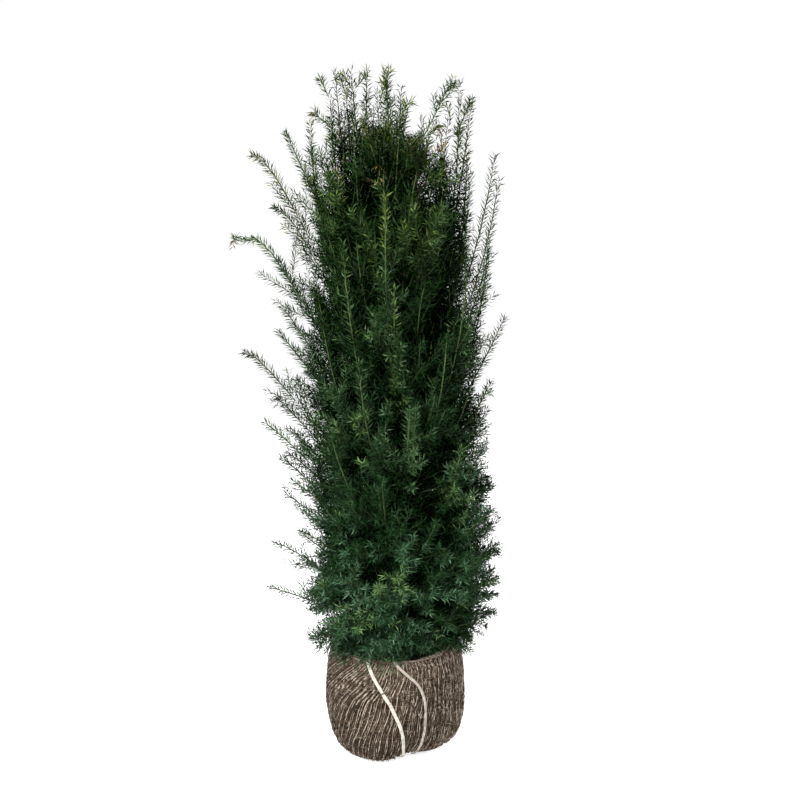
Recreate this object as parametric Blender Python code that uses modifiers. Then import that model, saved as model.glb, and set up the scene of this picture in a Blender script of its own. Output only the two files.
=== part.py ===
"""A young columnar yew, lifted with its root ball and wrapped in jute, ready for planting.

Metres, +Z up. The origin is on the flat underside of the root ball, below the foot of the trunk.

The crown is laid out on growth lines. Each line leaves the trunk at a height, its start, on a
bearing, and climbs outwards. A place in the crown is then a bearing, a start and a distance out.
A mass of foliage owns all the lines between two starts and two bearings, so that twigs which
follow their lines never meet a neighbouring mass.
"""

import math
import random

import bmesh
import bpy
from mathutils import Matrix, Vector
from mathutils.bvhtree import BVHTree

# Clearances
GAP = 0.0003  # between pieces that touch on the real plant
TWINE_GAP = 0.0015  # over the flats of the wrap, so that the twine clears the ridges between them

# Root ball and its wrap
BELLY_RADIUS = 0.141
BELLY_HEIGHT = 0.135
MOUTH_RADIUS = 0.118
RIM_HEIGHT = 0.212
FOOT_RADIUS = 0.091
JUTE = 0.0025  # thickness of the gathered cloth
LIP = 0.014  # width of the rolled edge inside the rim
SOIL_HEIGHT = 0.203
SHOULDER_STEP = 2  # the point of the wrap's outline that the soil reaches up to
SOIL_SEAT = 0.034  # radius of the level soil round the trunk
BALL_STEPS = 30
ARC_STEPS = 5
NOTCH_BEARING = math.radians(-74)  # where the twine draws the front of the ball in
NOTCH_WIDTH = math.radians(20)
NOTCH_DEPTH = 0.20
NOTCH_LIFT = 0.008
FRONT_LOBE = math.radians(-112)
LOBES = ((FRONT_LOBE, 0.13), (math.radians(5), 0.10), (math.radians(150), 0.05))  # bearing, bulge
OVAL = 0.012
RIM_WAVE = 0.003
WAVE_FOOT = 0.199  # height from which the rim's wave grows
SOIL_EDGE = 0.083  # radius at which the soil meets the rolled edge, a little below its middle
SOIL_DIP = 0.004

# Twine: height on the wrap and bearing in degrees, from the underside up to the rim
TWINE_LEFT = ((0.0, -82), (0.08, -84), (0.117, -90), (0.16, -100), (0.212, -115))
TWINE_RIGHT = ((0.0, -67), (0.08, -65), (0.14, -66), (0.172, -71), (0.212, -91))
TWINE_WIDTH = 0.006
TWINE_THICKNESS = 0.0022
TIE_WIRE = 0.0025
TIE_HEIGHT = 0.2185
TIE_SLACK = 0.0006  # the flats of the ring lie nearer the trunk than its corners

# Trunk and boughs
TRUNK_TOP = 1.15
TRUNK_RADIUS = ((0.203, 0.0235), (0.222, 0.0175), (0.265, 0.0135), (0.70, 0.0095), (TRUNK_TOP, 0.0036))
TRUNK_SWAY = 0.007
TRUNK_LEAN = -0.010
TRUNK_RINGS = 20
BOUGH_OUT = 0.045  # where each bough ends and its mass begins
BOUGH_CLIMB = 0.11
BOUGH_STAGGER = 0.022  # the boughs of a tier leave the trunk one above the other
BOUGH_FOOT = 0.221  # no bough leaves the trunk lower than this
BOUGH_BEND = 0.45  # where a bough turns outwards, as a share of its length from the tip
BOUGH_ARRIVAL = 1.25  # how steeply it arrives, against the growth line that it meets
BOUGH_RADIUS = ((0.25, 0.0062), (1.15, 0.0030))
BOUGH_TIP_SHARE = 0.5
BOUGH_STEPS = 6

# Crown: climb of a growth line for each metre out, by the height of its start
RISE = ((0.20, 0.0), (0.30, 0.55), (0.46, 0.98), (0.93, 1.65), (1.12, 3.2))
CROWN_TOP = 1.378
CROWN_RADIUS = (
    (0.215, 0.135),
    (0.30, 0.18),
    (0.45, 0.195),
    (1.10, 0.185),
    (1.20, 0.16),
    (1.30, 0.125),
    (CROWN_TOP, 0.045),
)
CROWN_SWAY = ((0.215, 0.0), (0.45, 0.015), (0.70, -0.010), (1.10, -0.024), (1.30, 0.0))

# Masses of foliage
TIERS = ("skirt", "lower", "middle", "upper", "shoulder", "crown")
TIER_STARTS = (0.226, 0.33, 0.46, 0.61, 0.77, 0.93, 1.12)
MASSES_PER_TIER = 4
FIRST_BEARING = math.radians(20)
TIER_TURN = math.radians(45)
SHOOTS_PER_MASS = 5
SPACE_MARGIN = 0.003
CORE_INNER = 0.053  # nearest the cores come to the middle of the crown
CORE_SHARE = 0.86  # how far a core reaches along its growth lines
CROWN_CORE_SHARE = 0.80
CORE_FILL = 0.88
CORE_SQUARENESS = 0.5  # 0 for a round core, 1 for a square one
CORE_ROUGHNESS = 0.14
TWIG_RADIUS = 0.0022
STEM_RADIUS = 0.0027
STEM_LENGTH = 0.075
TIP_SHARE = 0.6  # radius of a twig's tip against its foot
SPRAY_THICKNESS = 0.0014
SPRAY_WIDTH = 0.026  # half the width of a spray across its longest needles
LONGEST_SPRAY = 0.095
SPRAY_SHARE = 0.55  # most of a shoot that its end spray may take up
SPRAY_SEAT = 0.3  # share of a spray that its twig is sunk into
SPRAY_TRIES = 6
SIDE_SPRAY_SHARE = 0.45  # of the shorter shoots
SEED = 41

# Long shoots that stand out of the crown: bearing in degrees, height and distance out of the tip
LONG_SHOOTS = (
    (178, 1.031, 0.326),
    (187, 0.819, 0.303),
    (173, 1.204, 0.284),
    (184, 1.243, 0.214),
    (193, 0.685, 0.268),
    (172, 0.521, 0.236),
    (181, 0.426, 0.256),
    (188, 0.340, 0.267),
    (176, 1.357, 0.116),
    (352, 1.333, 0.124),
    (8, 1.307, 0.148),
    (5, 1.203, 0.197),
    (353, 0.890, 0.218),
    (9, 0.700, 0.192),
    (357, 0.480, 0.217),
    (6, 0.306, 0.219),
    (266, 1.120, 0.226),
    (277, 0.740, 0.238),
    (262, 0.400, 0.236),
    (95, 1.080, 0.248),
    (84, 0.660, 0.240),
    (99, 0.340, 0.235),
)
LEADER_TIPS = ((168, 1.378, 0.056), (100, 1.374, 0.020), (300, 1.350, 0.045), (40, 1.335, 0.050))


def between(value, table):
    """Reads an amount from pairs of place and amount, eased from each pair to the next."""
    if value <= table[0][0]:
        return table[0][1]
    for (low, first), (high, second) in zip(table, table[1:]):
        if value <= high:
            share = (value - low) / (high - low)
            share = share * share * (3 - 2 * share)
            return first + (second - first) * share
    return table[-1][1]


def turn_between(one, other):
    """Signed turn from one bearing to the other, at most half a circle."""
    return (other - one + math.pi) % math.tau - math.pi


# ---------------------------------------------------------------- scene helpers


def clear_scene():
    for old in list(bpy.data.objects):
        bpy.data.objects.remove(old)


def new_collection(name):
    collection = bpy.data.collections.new(name)
    bpy.context.scene.collection.children.link(collection)
    return collection


def paint(name, colour, roughness):
    material = bpy.data.materials.new(name)
    material.use_nodes = True
    shader = material.node_tree.nodes["Principled BSDF"]
    shader.inputs["Base Color"].default_value = (*colour, 1)
    shader.inputs["Roughness"].default_value = roughness
    shader.inputs["Metallic"].default_value = 0
    return material


def as_object(name, mesh, collection, colour, roughness):
    """Links a mesh as a named part with a material of its own."""
    part = bpy.data.objects.new(name, mesh)
    mesh.materials.clear()
    mesh.materials.append(paint(name + "_finish", colour, roughness))
    collection.objects.link(part)
    return part


def from_bmesh(name, form, collection):
    mesh = bpy.data.meshes.new(name)
    form.to_mesh(mesh)
    form.free()
    part = bpy.data.objects.new(name, mesh)
    collection.objects.link(part)
    return part


def baked(part):
    """The part's mesh with its modifiers applied and the loose caps of a curve welded on."""
    bpy.context.view_layer.update()
    graph = bpy.context.evaluated_depsgraph_get()
    mesh = bpy.data.meshes.new_from_object(part.evaluated_get(graph))
    form = bmesh.new()
    form.from_mesh(mesh)
    bmesh.ops.remove_doubles(form, verts=form.verts, dist=0.00001)
    form.transform(part.matrix_world)
    form.to_mesh(mesh)
    form.free()
    return mesh


def limb_curve(name, points, radii, collection, sides_step):
    """A tapering limb: a curve with a round bevel, thinned from point to point."""
    curve = bpy.data.curves.new(name, "CURVE")
    curve.dimensions = "3D"
    curve.bevel_depth = 1.0
    curve.bevel_resolution = sides_step
    curve.use_fill_caps = True
    spline = curve.splines.new("POLY")
    spline.points.add(len(points) - 1)
    for knot, point, radius in zip(spline.points, points, radii):
        knot.co = (*point, 1)
        knot.radius = radius
    part = bpy.data.objects.new(name, curve)
    collection.objects.link(part)
    return part


def limb_mesh(name, points, radii, collection, sides_step):
    limb = limb_curve(name, points, radii, collection, sides_step)
    mesh = baked(limb)
    curve = limb.data
    bpy.data.objects.remove(limb)
    bpy.data.curves.remove(curve)
    return mesh


# ---------------------------------------------------------------- root ball, wrap and twine


def notch(bearing):
    """How far a bearing lies in the valleys that the twine draws, in front and behind."""
    front = turn_between(NOTCH_BEARING, bearing) / NOTCH_WIDTH
    back = turn_between(NOTCH_BEARING + math.pi, bearing) / NOTCH_WIDTH
    return math.exp(-front * front) + math.exp(-back * back)


def ball_place(point):
    """Moves a point of the turned ball to the lobed shape that the twine gives it."""
    bearing = math.atan2(point.y, point.x)
    out = math.hypot(point.x, point.y)
    low = max(0.0, 1 - point.z / BELLY_HEIGHT)
    lobe = low * sum(share * max(0.0, math.cos(bearing - middle)) ** 2 for middle, share in LOBES)
    oval = OVAL * math.cos(2 * (bearing - FRONT_LOBE))
    pinch = NOTCH_DEPTH * low * low * notch(bearing)
    scale = 1 + lobe + oval - pinch
    underside = max(0.0, 1 - point.z / (BELLY_HEIGHT / 3))
    lift = NOTCH_LIFT * notch(bearing) * underside * max(0.0, min(1.0, 2 * out / FOOT_RADIUS - 1))
    return Vector((point.x * scale, point.y * scale, point.z + lift))


def ball_side():
    """Half outline of the wrap from its crest down the side to the foot, as (out, height)."""
    side = []
    for step in range(ARC_STEPS + 1):
        turn = math.pi / 2 * (1 - step / ARC_STEPS)
        out = MOUTH_RADIUS + (BELLY_RADIUS - MOUTH_RADIUS) * math.cos(turn)
        side.append((out, BELLY_HEIGHT + (RIM_HEIGHT - BELLY_HEIGHT) * math.sin(turn)))
    for step in range(1, ARC_STEPS + 1):
        turn = math.pi / 2 * step / ARC_STEPS
        out = FOOT_RADIUS + (BELLY_RADIUS - FOOT_RADIUS) * math.cos(turn)
        side.append((out, BELLY_HEIGHT * (1 - math.sin(turn))))
    side.append((FOOT_RADIUS / 2, 0))
    side.append((0, 0))
    return side


def turned(name, profile, collection):
    """Turns a profile, drawn at +X from top to bottom, round the Z axis."""
    form = bmesh.new()
    verts = [form.verts.new((out, 0, height)) for out, height in profile]
    for one, other in zip(verts, verts[1:]):
        form.edges.new((one, other))
    part = from_bmesh(name, form, collection)
    screw = part.modifiers.new("turn", "SCREW")
    screw.steps = BALL_STEPS
    screw.render_steps = BALL_STEPS
    screw.use_merge_vertices = True
    screw.merge_threshold = 0.00001
    mesh = baked(part)
    bpy.data.objects.remove(part)
    return mesh


def make_root_ball(parts, guides):
    """The ball of soil and roots that fills the wrap up to its shoulder."""
    top = [(0, SOIL_HEIGHT), (SOIL_SEAT, SOIL_HEIGHT), (SOIL_EDGE, SOIL_HEIGHT - SOIL_DIP)]
    mesh = turned("root_ball", top + ball_side()[SHOULDER_STEP:], guides)
    for vert in mesh.vertices:
        vert.co = ball_place(vert.co)
    inward = [vert.co - vert.normal * (JUTE + 2 * GAP) for vert in mesh.vertices]
    for vert, place in zip(mesh.vertices, inward):
        if vert.co.z < RIM_HEIGHT - LIP:
            vert.co = place
    return as_object("root_ball", mesh, parts, (0.055, 0.035, 0.022), 0.95)


def make_wrap(parts, guides):
    """The jute cloth: a shell open at its mouth, with the edge rolled in over the soil."""
    roll = [(MOUTH_RADIUS - LIP, RIM_HEIGHT - LIP / 2), (MOUTH_RADIUS - LIP / 2, RIM_HEIGHT - LIP / 12)]
    mesh = turned("jute_wrap", roll + ball_side(), guides)
    for vert in mesh.vertices:
        near_rim = max(0.0, (vert.co.z - WAVE_FOOT) / (RIM_HEIGHT - WAVE_FOOT))
        wave = RIM_WAVE * math.sin(3 * math.atan2(vert.co.y, vert.co.x) + 0.6) * near_rim
        vert.co = ball_place(vert.co)
        vert.co.z += wave
    wrap = as_object("jute_wrap", mesh, parts, (0.105, 0.072, 0.048), 0.9)
    shell = wrap.modifiers.new("cloth", "SOLIDIFY")
    shell.thickness = JUTE
    shell.offset = -1
    return wrap


def wrap_surface(wrap):
    """The wrap's outer face as a tree that rays can be cast at."""
    form = bmesh.new()
    form.from_mesh(wrap.data)
    tree = BVHTree.FromBMesh(form)
    form.free()
    return tree


def twine_path(table, surface, mirror):
    """Places and outward directions along a twine on the wrap, ring by ring from the crest down."""
    rings = ball_side()[:-2]
    path = []
    for index, (out, height) in enumerate(rings):
        bearing = math.radians(between(height, table))
        if mirror:
            bearing = 2 * NOTCH_BEARING + math.pi - bearing
        ahead = Vector((math.cos(bearing), math.sin(bearing), 0))
        aside = Vector((-ahead.y, ahead.x, 0))
        above = rings[max(index - 1, 0)]
        below = rings[index + 1] if index + 1 < len(rings) else (FOOT_RADIUS / 2, 0)
        downhill = ball_place(ahead * below[0] + Vector((0, 0, below[1])))
        downhill -= ball_place(ahead * above[0] + Vector((0, 0, above[1])))
        outward = aside.cross(-downhill).normalized()
        place = ball_place(ahead * out + Vector((0, 0, height)))
        lifts = []
        for share in (-1, 0, 1):
            origin = place + aside * share * TWINE_WIDTH / 2 + outward * RIM_HEIGHT / 4
            hit, _, _, _ = surface.ray_cast(origin, -outward)
            lifts.append((hit - place).dot(outward))
        path.append((place + outward * max(lifts), outward))
    return path


def make_twine(name, table, surface, mirror, parts):
    """A flat band of twine from the tie at the trunk, over the rim and down into the notch."""
    path = twine_path(table, surface, mirror)
    crest, _ = path[0]
    radial = Vector((crest.x, crest.y, 0)).normalized()
    start = radial * (tie_radius() + TIE_WIRE + GAP) + Vector((0, 0, TIE_HEIGHT))
    places = [start] + [place + outward * (TWINE_GAP + TWINE_THICKNESS / 2) for place, outward in path]
    normals = [Vector((0, 0, 1))] + [outward for _, outward in path]
    form = bmesh.new()
    rings = []
    for index, (place, normal) in enumerate(zip(places, normals)):
        ahead = places[min(index + 1, len(places) - 1)] - places[max(index - 1, 0)]
        side = ahead.cross(normal).normalized() * TWINE_WIDTH / 2
        over = normal * TWINE_THICKNESS / 2
        corners = (side - over, side + over, over - side, -side - over)
        rings.append([form.verts.new(place + corner) for corner in corners])
    for ring, following in zip(rings, rings[1:]):
        for corner in range(4):
            beside = (corner + 1) % 4
            form.faces.new((ring[corner], ring[beside], following[beside], following[corner]))
    form.faces.new(rings[0])
    form.faces.new(rings[-1])
    bmesh.ops.recalc_face_normals(form, faces=form.faces)
    mesh = bpy.data.meshes.new(name)
    form.to_mesh(mesh)
    form.free()
    return as_object(name, mesh, parts, (0.72, 0.66, 0.54), 0.85)


def tie_radius():
    """Radius of the middle of the twine where it goes round the flare of the trunk."""
    return between(TIE_HEIGHT - TIE_WIRE, TRUNK_RADIUS) + TIE_WIRE + TIE_SLACK


def make_tie(parts):
    """The twine's turn round the foot of the trunk, where all four ends are knotted."""
    bpy.ops.mesh.primitive_torus_add(
        location=(0, 0, TIE_HEIGHT),
        major_radius=tie_radius(),
        minor_radius=TIE_WIRE,
        major_segments=16,
        minor_segments=5,
    )
    ring = bpy.context.object
    mesh = baked(ring)
    bpy.data.objects.remove(ring)
    return as_object("twine_tie", mesh, parts, (0.72, 0.66, 0.54), 0.85)


# ---------------------------------------------------------------- trunk and boughs


def trunk_place(height):
    """The middle of the trunk at a height: a slight double bend and a lean."""
    share = (height - SOIL_HEIGHT) / (TRUNK_TOP - SOIL_HEIGHT)
    side = TRUNK_LEAN * share + TRUNK_SWAY * math.sin(math.tau * share)
    return Vector((side, TRUNK_SWAY * math.sin(math.pi * share) / 2, height))


def trunk_heights():
    """Ring heights, close together in the root flare."""
    foot = SOIL_HEIGHT + GAP
    return [foot + (TRUNK_TOP - foot) * (ring / TRUNK_RINGS) ** 1.5 for ring in range(TRUNK_RINGS + 1)]


def make_trunk(parts, guides, spare):
    """The trunk's mesh with spare added to its radius."""
    heights = trunk_heights()
    points = [trunk_place(height) for height in heights]
    points[1].xy = points[0].xy
    radii = [between(height, TRUNK_RADIUS) + spare for height in heights]
    mesh = limb_mesh("trunk", points, radii, guides, 3)
    if spare:
        return mesh
    return as_object("trunk", mesh, parts, (0.16, 0.085, 0.055), 0.85)


def rise_at(start):
    return between(start, RISE)


def crown_point(bearing, start, out):
    """The place a distance out along the growth line of a bearing and a start."""
    return Vector((out * math.cos(bearing), out * math.sin(bearing), start + rise_at(start) * out))


def start_below(out, height):
    """The start of the growth line that passes a distance out at a height."""
    low = 0.0
    high = CROWN_TOP
    for _ in range(40):
        middle = (low + high) / 2
        if middle + rise_at(middle) * out < height:
            low = middle
        else:
            high = middle
    return low


def crown_reach(bearing, height):
    """The crown's own radius on a bearing at a height."""
    return between(height, CROWN_RADIUS) + between(height, CROWN_SWAY) * math.cos(bearing)


def line_reach(bearing, start):
    """How far out a growth line meets the outline of the crown."""
    low = 0.0
    high = 0.4
    for _ in range(30):
        middle = (low + high) / 2
        height = start + rise_at(start) * middle
        if middle < crown_reach(bearing, height) and height < CROWN_TOP:
            low = middle
        else:
            high = middle
    return low


def bough_path(mass):
    """Middle line of a bough: up beside the trunk, then out to the foot of its mass."""
    tip = crown_point(mass.bearing, mass.start, BOUGH_OUT)
    drop = BOUGH_CLIMB + BOUGH_STAGGER * mass.number
    foot = trunk_place(max(tip.z - drop, BOUGH_FOOT))
    climb = rise_at(mass.start) * BOUGH_ARRIVAL
    heading = Vector((math.cos(mass.bearing), math.sin(mass.bearing), climb))
    elbow = tip - heading.normalized() * (tip - foot).length * BOUGH_BEND
    path = []
    for step in range(BOUGH_STEPS + 1):
        share = step / BOUGH_STEPS
        first = foot.lerp(elbow, share)
        second = elbow.lerp(tip, share)
        path.append(first.lerp(second, share))
    return path


def bough_radii(mass):
    root = between(mass.start, BOUGH_RADIUS)
    return [root * (1 - (1 - BOUGH_TIP_SHARE) * step / BOUGH_STEPS) for step in range(BOUGH_STEPS + 1)]


def make_bough(mass, clear_trunk, parts, guides):
    """A tapering bough whose foot is hollowed to sit against the trunk."""
    mesh = limb_mesh(mass.bough_name, mass.bough, bough_radii(mass), guides, 1)
    bough = as_object(mass.bough_name, mesh, parts, (0.15, 0.085, 0.055), 0.85)
    seat = bough.modifiers.new("seat on the trunk", "BOOLEAN")
    seat.operation = "DIFFERENCE"
    seat.solver = "EXACT"
    seat.object = clear_trunk
    return bough


# ---------------------------------------------------------------- masses of foliage


class Mass:
    """One mass of foliage: the growth lines between two starts and two bearings."""

    def __init__(self, tier, number):
        self.tier = tier
        self.number = number
        self.bearing = FIRST_BEARING + TIER_TURN * tier + math.tau * number / MASSES_PER_TIER
        self.half_turn = math.pi / MASSES_PER_TIER
        self.low = TIER_STARTS[tier]
        self.high = TIER_STARTS[tier + 1]
        self.start = (self.low + self.high) / 2
        self.name = f"foliage_{TIERS[tier]}_{number + 1}"
        self.bough_name = f"bough_{TIERS[tier]}_{number + 1}"
        self.core_share = CORE_SHARE if tier < len(TIERS) - 1 else CROWN_CORE_SHARE
        self.bough = bough_path(self)
        self.foot = self.bough[-1]
        self.heading = (self.bough[-1] - self.bough[-2]).normalized()
        self.tips = []
        self.seed = SEED + 10 * tier + number

    def owns(self, bearing, start):
        return abs(turn_between(self.bearing, bearing)) < self.half_turn and self.low <= start < self.high

    def room(self, point):
        """Distance from a point inside the mass's space to the nearest of its walls."""
        out = math.hypot(point.x, point.y)
        turn = self.half_turn - abs(turn_between(self.bearing, math.atan2(point.y, point.x)))
        side = out * math.sin(max(min(turn, math.pi / 2), -math.pi / 2))
        floor_rise = rise_at(self.low)
        floor = (point.z - self.low - floor_rise * out) / math.hypot(1, floor_rise)
        roof_rise = rise_at(self.high)
        roof = (self.high + roof_rise * out - point.z) / math.hypot(1, roof_rise)
        return min(side, floor, roof)

    def stem_end(self):
        return self.foot + self.heading * STEM_LENGTH

    def shoot_tips(self, rng):
        """Places for the tips of the shoots, spread over the mass's share of the crown."""
        tips = list(self.tips)
        count = SHOOTS_PER_MASS - len(tips)
        for shoot in range(max(count, 2)):
            across = (shoot + rng.random()) / max(count, 2)
            bearing = self.bearing + self.half_turn * (1.7 * across - 0.85)
            start = self.low + (self.high - self.low) * (0.18 + 0.7 * rng.random())
            out = line_reach(bearing, start) * rng.uniform(0.94, 1.1)
            tips.append(crown_point(bearing, start, out))
        return tips


class Leader(Mass):
    """The mass on the tip of the trunk: all growth lines that start above the crown tier."""

    def __init__(self):
        self.tier = len(TIERS)
        self.bearing = 0.0
        self.low = TIER_STARTS[-1]
        self.start = self.low
        self.name = "foliage_leader"
        self.core_share = 0
        self.foot = trunk_place(TRUNK_TOP)
        self.heading = Vector((0, 0, 1))
        self.tips = [tip_place(*tip) for tip in LEADER_TIPS]
        self.seed = SEED + 10 * self.tier

    def room(self, point):
        out = math.hypot(point.x, point.y)
        rise = rise_at(self.low)
        return (point.z - self.low - rise * out) / math.hypot(1, rise)

    def shoot_tips(self, rng):
        return list(self.tips)


def tip_place(bearing, height, out):
    angle = math.radians(bearing)
    return Vector((out * math.cos(angle), out * math.sin(angle), height))


def all_masses():
    """Every mass, each long shoot handed to the mass whose growth lines it ends on."""
    masses = [Mass(tier, number) for tier in range(len(TIERS)) for number in range(MASSES_PER_TIER)]
    for bearing, height, out in LONG_SHOOTS:
        start = start_below(out, height)
        for mass in masses:
            if mass.owns(math.radians(bearing), start):
                mass.tips.append(tip_place(bearing, height, out))
    return masses + [Leader()]


def frame_along(direction, roll):
    """Axes whose X runs along a direction, rolled about it."""
    along = direction.normalized()
    helper = Vector((0, 0, 1)) if abs(along.z) < 0.9 else Vector((1, 0, 0))
    across = along.cross(helper).normalized()
    over = along.cross(across)
    turned_across = across * math.cos(roll) + over * math.sin(roll)
    turned_over = along.cross(turned_across)
    return Matrix((along, turned_across, turned_over)).transposed()


def cone_between(name, start, end, first, last, sides, pieces):
    """A straight tapering length of twig."""
    form = bmesh.new()
    length = (end - start).length
    bmesh.ops.create_cone(
        form, cap_ends=True, cap_tris=False, segments=sides, radius1=first, radius2=last, depth=length
    )
    turn = (end - start).to_track_quat("Z", "Y").to_matrix().to_4x4()
    form.transform(Matrix.Translation((start + end) / 2) @ turn)
    return from_bmesh(name, form, pieces)


def spray_outline(length, width, pairs):
    """Flat outline of a spray: pairs of needles that point forward from a narrow rib."""
    edge = []
    for pair in range(pairs):
        share = (pair + 1) / (pairs + 0.6)
        edge.append((length * share, width * (1 - 0.22 * pair)))
        edge.append((length * (share - 0.12), width * 0.16))
    under = [(along, -across) for along, across in reversed(edge)]
    return [(0, 0)] + edge + [(length, 0)] + under


def add_spray(name, root, tip, width, pairs, roll, pieces):
    """A toothed blade of needles as a thin closed solid."""
    axes = frame_along(tip - root, roll)
    half = axes @ Vector((0, 0, SPRAY_THICKNESS / 2))
    form = bmesh.new()
    outline = spray_outline((tip - root).length, width, pairs)
    verts = [form.verts.new(root + axes @ Vector((along, across, 0)) - half) for along, across in outline]
    blade = form.faces.new(verts)
    raised = bmesh.ops.extrude_face_region(form, geom=[blade])
    top = [item for item in raised["geom"] if isinstance(item, bmesh.types.BMVert)]
    bmesh.ops.translate(form, verts=top, vec=half * 2)
    bmesh.ops.recalc_face_normals(form, faces=form.faces)
    return from_bmesh(name, form, pieces)


def spray_points(root, tip, width, pairs, roll):
    axes = frame_along(tip - root, roll)
    outline = spray_outline((tip - root).length, width, pairs)
    return [root + axes @ Vector((along, across, 0)) for along, across in outline]


def distance_to_limb(point, path, radii):
    """Distance from a point to the bark of a limb."""
    nearest = 1.0
    for start, end, radius in zip(path, path[1:], radii):
        run = end - start
        share = max(0.0, min(1.0, (point - start).dot(run) / run.length_squared))
        nearest = min(nearest, (point - start - run * share).length - radius)
    return nearest


def is_free(points, mass, limbs):
    """Whether points stay in the mass's space, off the limbs and above the rim of the wrap."""
    for point in points:
        if mass.room(point) < SPACE_MARGIN or point.z < RIM_HEIGHT:
            return False
        if any(distance_to_limb(point, path, radii) < SPACE_MARGIN for path, radii in limbs):
            return False
    return True


def add_core(mass, rng, pieces):
    """The dense middle of a mass: a rough rounded block laid out along its growth lines."""
    form = bmesh.new()
    bmesh.ops.create_uvsphere(form, u_segments=8, v_segments=6, radius=1)
    for vert in form.verts:
        squareness = max(abs(vert.co.x), abs(vert.co.y), abs(vert.co.z)) ** CORE_SQUARENESS
        spread = vert.co / squareness * (1 - CORE_ROUGHNESS * rng.random())
        bearing = mass.bearing + mass.half_turn * CORE_FILL * spread.x
        start = mass.start + (mass.high - mass.low) / 2 * CORE_FILL * spread.y
        outer = line_reach(bearing, start) * mass.core_share
        out = (CORE_INNER + outer) / 2 + (outer - CORE_INNER) / 2 * spread.z
        vert.co = crown_point(bearing, start, out)
    bmesh.ops.recalc_face_normals(form, faces=form.faces)
    return from_bmesh("core", form, pieces)


def fitting_spray(root, tip, pairs, rng, mass, limbs):
    """A width and a roll at which a spray keeps to its space, or None where it can't."""
    for attempt in range(SPRAY_TRIES):
        width = SPRAY_WIDTH * (1 - 0.5 * attempt / SPRAY_TRIES)
        roll = rng.uniform(0, math.pi)
        if is_free(spray_points(root, tip, width, pairs, roll), mass, limbs):
            return width, roll
    return None


def add_shoot(mass, tip, rng, limbs, pieces):
    """A twig from the mass's stem that ends in a toothed spray, with a smaller one at its side."""
    root = mass.foot.lerp(mass.stem_end(), rng.uniform(0.45, 0.9))
    along = (tip - root).normalized()
    spray_length = min(LONGEST_SPRAY, (tip - root).length * SPRAY_SHARE)
    spray_root = tip - along * spray_length
    twig_end = spray_root + along * spray_length * SPRAY_SEAT
    pairs = 2 if tip in mass.tips else 1
    fit = fitting_spray(spray_root, tip, pairs, rng, mass, limbs)
    twig = [root.lerp(twig_end, step / 6) for step in range(1, 7)]
    if fit is None or not is_free(twig, mass, limbs):
        return
    cone_between("twig", root, twig_end, TWIG_RADIUS, TWIG_RADIUS * TIP_SHARE, 3, pieces)
    add_spray("spray", spray_root, tip, fit[0], pairs, fit[1], pieces)
    if pairs == 1 and rng.random() > SIDE_SPRAY_SHARE:
        return
    base = root.lerp(tip, rng.uniform(0.45, 0.65))
    spread = frame_along(along, rng.uniform(0, math.tau)) @ Vector((0, 1, 0))
    side_tip = base + (along * 0.8 + spread * 0.6) * rng.uniform(0.07, 0.09)
    fit = fitting_spray(base, side_tip, 1, rng, mass, limbs)
    if fit is not None:
        add_spray("side_spray", base, side_tip, fit[0], 1, fit[1], pieces)


def drop_scraps(mesh):
    """Leaves only the largest body of a fused mesh, body by body across shared edges."""
    form = bmesh.new()
    form.from_mesh(mesh)
    waiting = set(form.faces)
    bodies = []
    while waiting:
        body = []
        edge = [waiting.pop()]
        while edge:
            face = edge.pop()
            body.append(face)
            beside = {other for side in face.edges for other in side.link_faces} & waiting
            waiting -= beside
            edge.extend(beside)
        bodies.append(body)
    bodies.sort(key=len)
    for scrap in bodies[:-1]:
        bmesh.ops.delete(form, geom=scrap, context="FACES")
    form.to_mesh(mesh)
    form.free()


def make_foliage(mass, limbs, parts):
    """Builds one mass and joins its stem, core, twigs and sprays in a single union."""
    rng = random.Random(mass.seed)
    pieces = new_collection("pieces")
    stem_start = mass.foot + mass.heading * GAP
    stem_tip = STEM_RADIUS * TIP_SHARE
    stem = cone_between("stem", stem_start, mass.stem_end(), STEM_RADIUS, stem_tip, 5, pieces)
    if mass.core_share:
        add_core(mass, rng, pieces)
    for tip in mass.shoot_tips(rng):
        add_shoot(mass, tip, rng, limbs, pieces)
    pieces.objects.unlink(stem)
    bpy.context.scene.collection.objects.link(stem)
    union = stem.modifiers.new("one body", "BOOLEAN")
    union.operation = "UNION"
    union.operand_type = "COLLECTION"
    union.collection = pieces
    union.solver = "EXACT"
    mesh = baked(stem)
    drop_scraps(mesh)
    for piece in list(pieces.objects):
        bpy.data.objects.remove(piece)
    bpy.data.objects.remove(stem)
    bpy.data.collections.remove(pieces)
    return as_object(mass.name, mesh, parts, (0.025, 0.075, 0.022), 0.6)


def build():
    clear_scene()
    parts = new_collection("yew_tree")
    guides = new_collection("cutters")
    make_root_ball(parts, guides)
    wrap = make_wrap(parts, guides)
    surface = wrap_surface(wrap)
    make_twine("twine_front_left", TWINE_LEFT, surface, False, parts)
    make_twine("twine_front_right", TWINE_RIGHT, surface, False, parts)
    make_twine("twine_back_left", TWINE_RIGHT, surface, True, parts)
    make_twine("twine_back_right", TWINE_LEFT, surface, True, parts)
    make_tie(parts)
    make_trunk(parts, guides, 0)
    clear_trunk = bpy.data.objects.new("clear_trunk", make_trunk(parts, guides, GAP))
    guides.objects.link(clear_trunk)
    clear_trunk.hide_render = True
    clear_trunk.display_type = "WIRE"
    masses = all_masses()
    heights = trunk_heights()
    trunk_radii = [between(height, TRUNK_RADIUS) for height in heights]
    limbs = [([trunk_place(height) for height in heights], trunk_radii)]
    for mass in masses[:-1]:
        make_bough(mass, clear_trunk, parts, guides)
        limbs.append((mass.bough, bough_radii(mass)))
    for mass in masses:
        make_foliage(mass, limbs, parts)


build()
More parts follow.
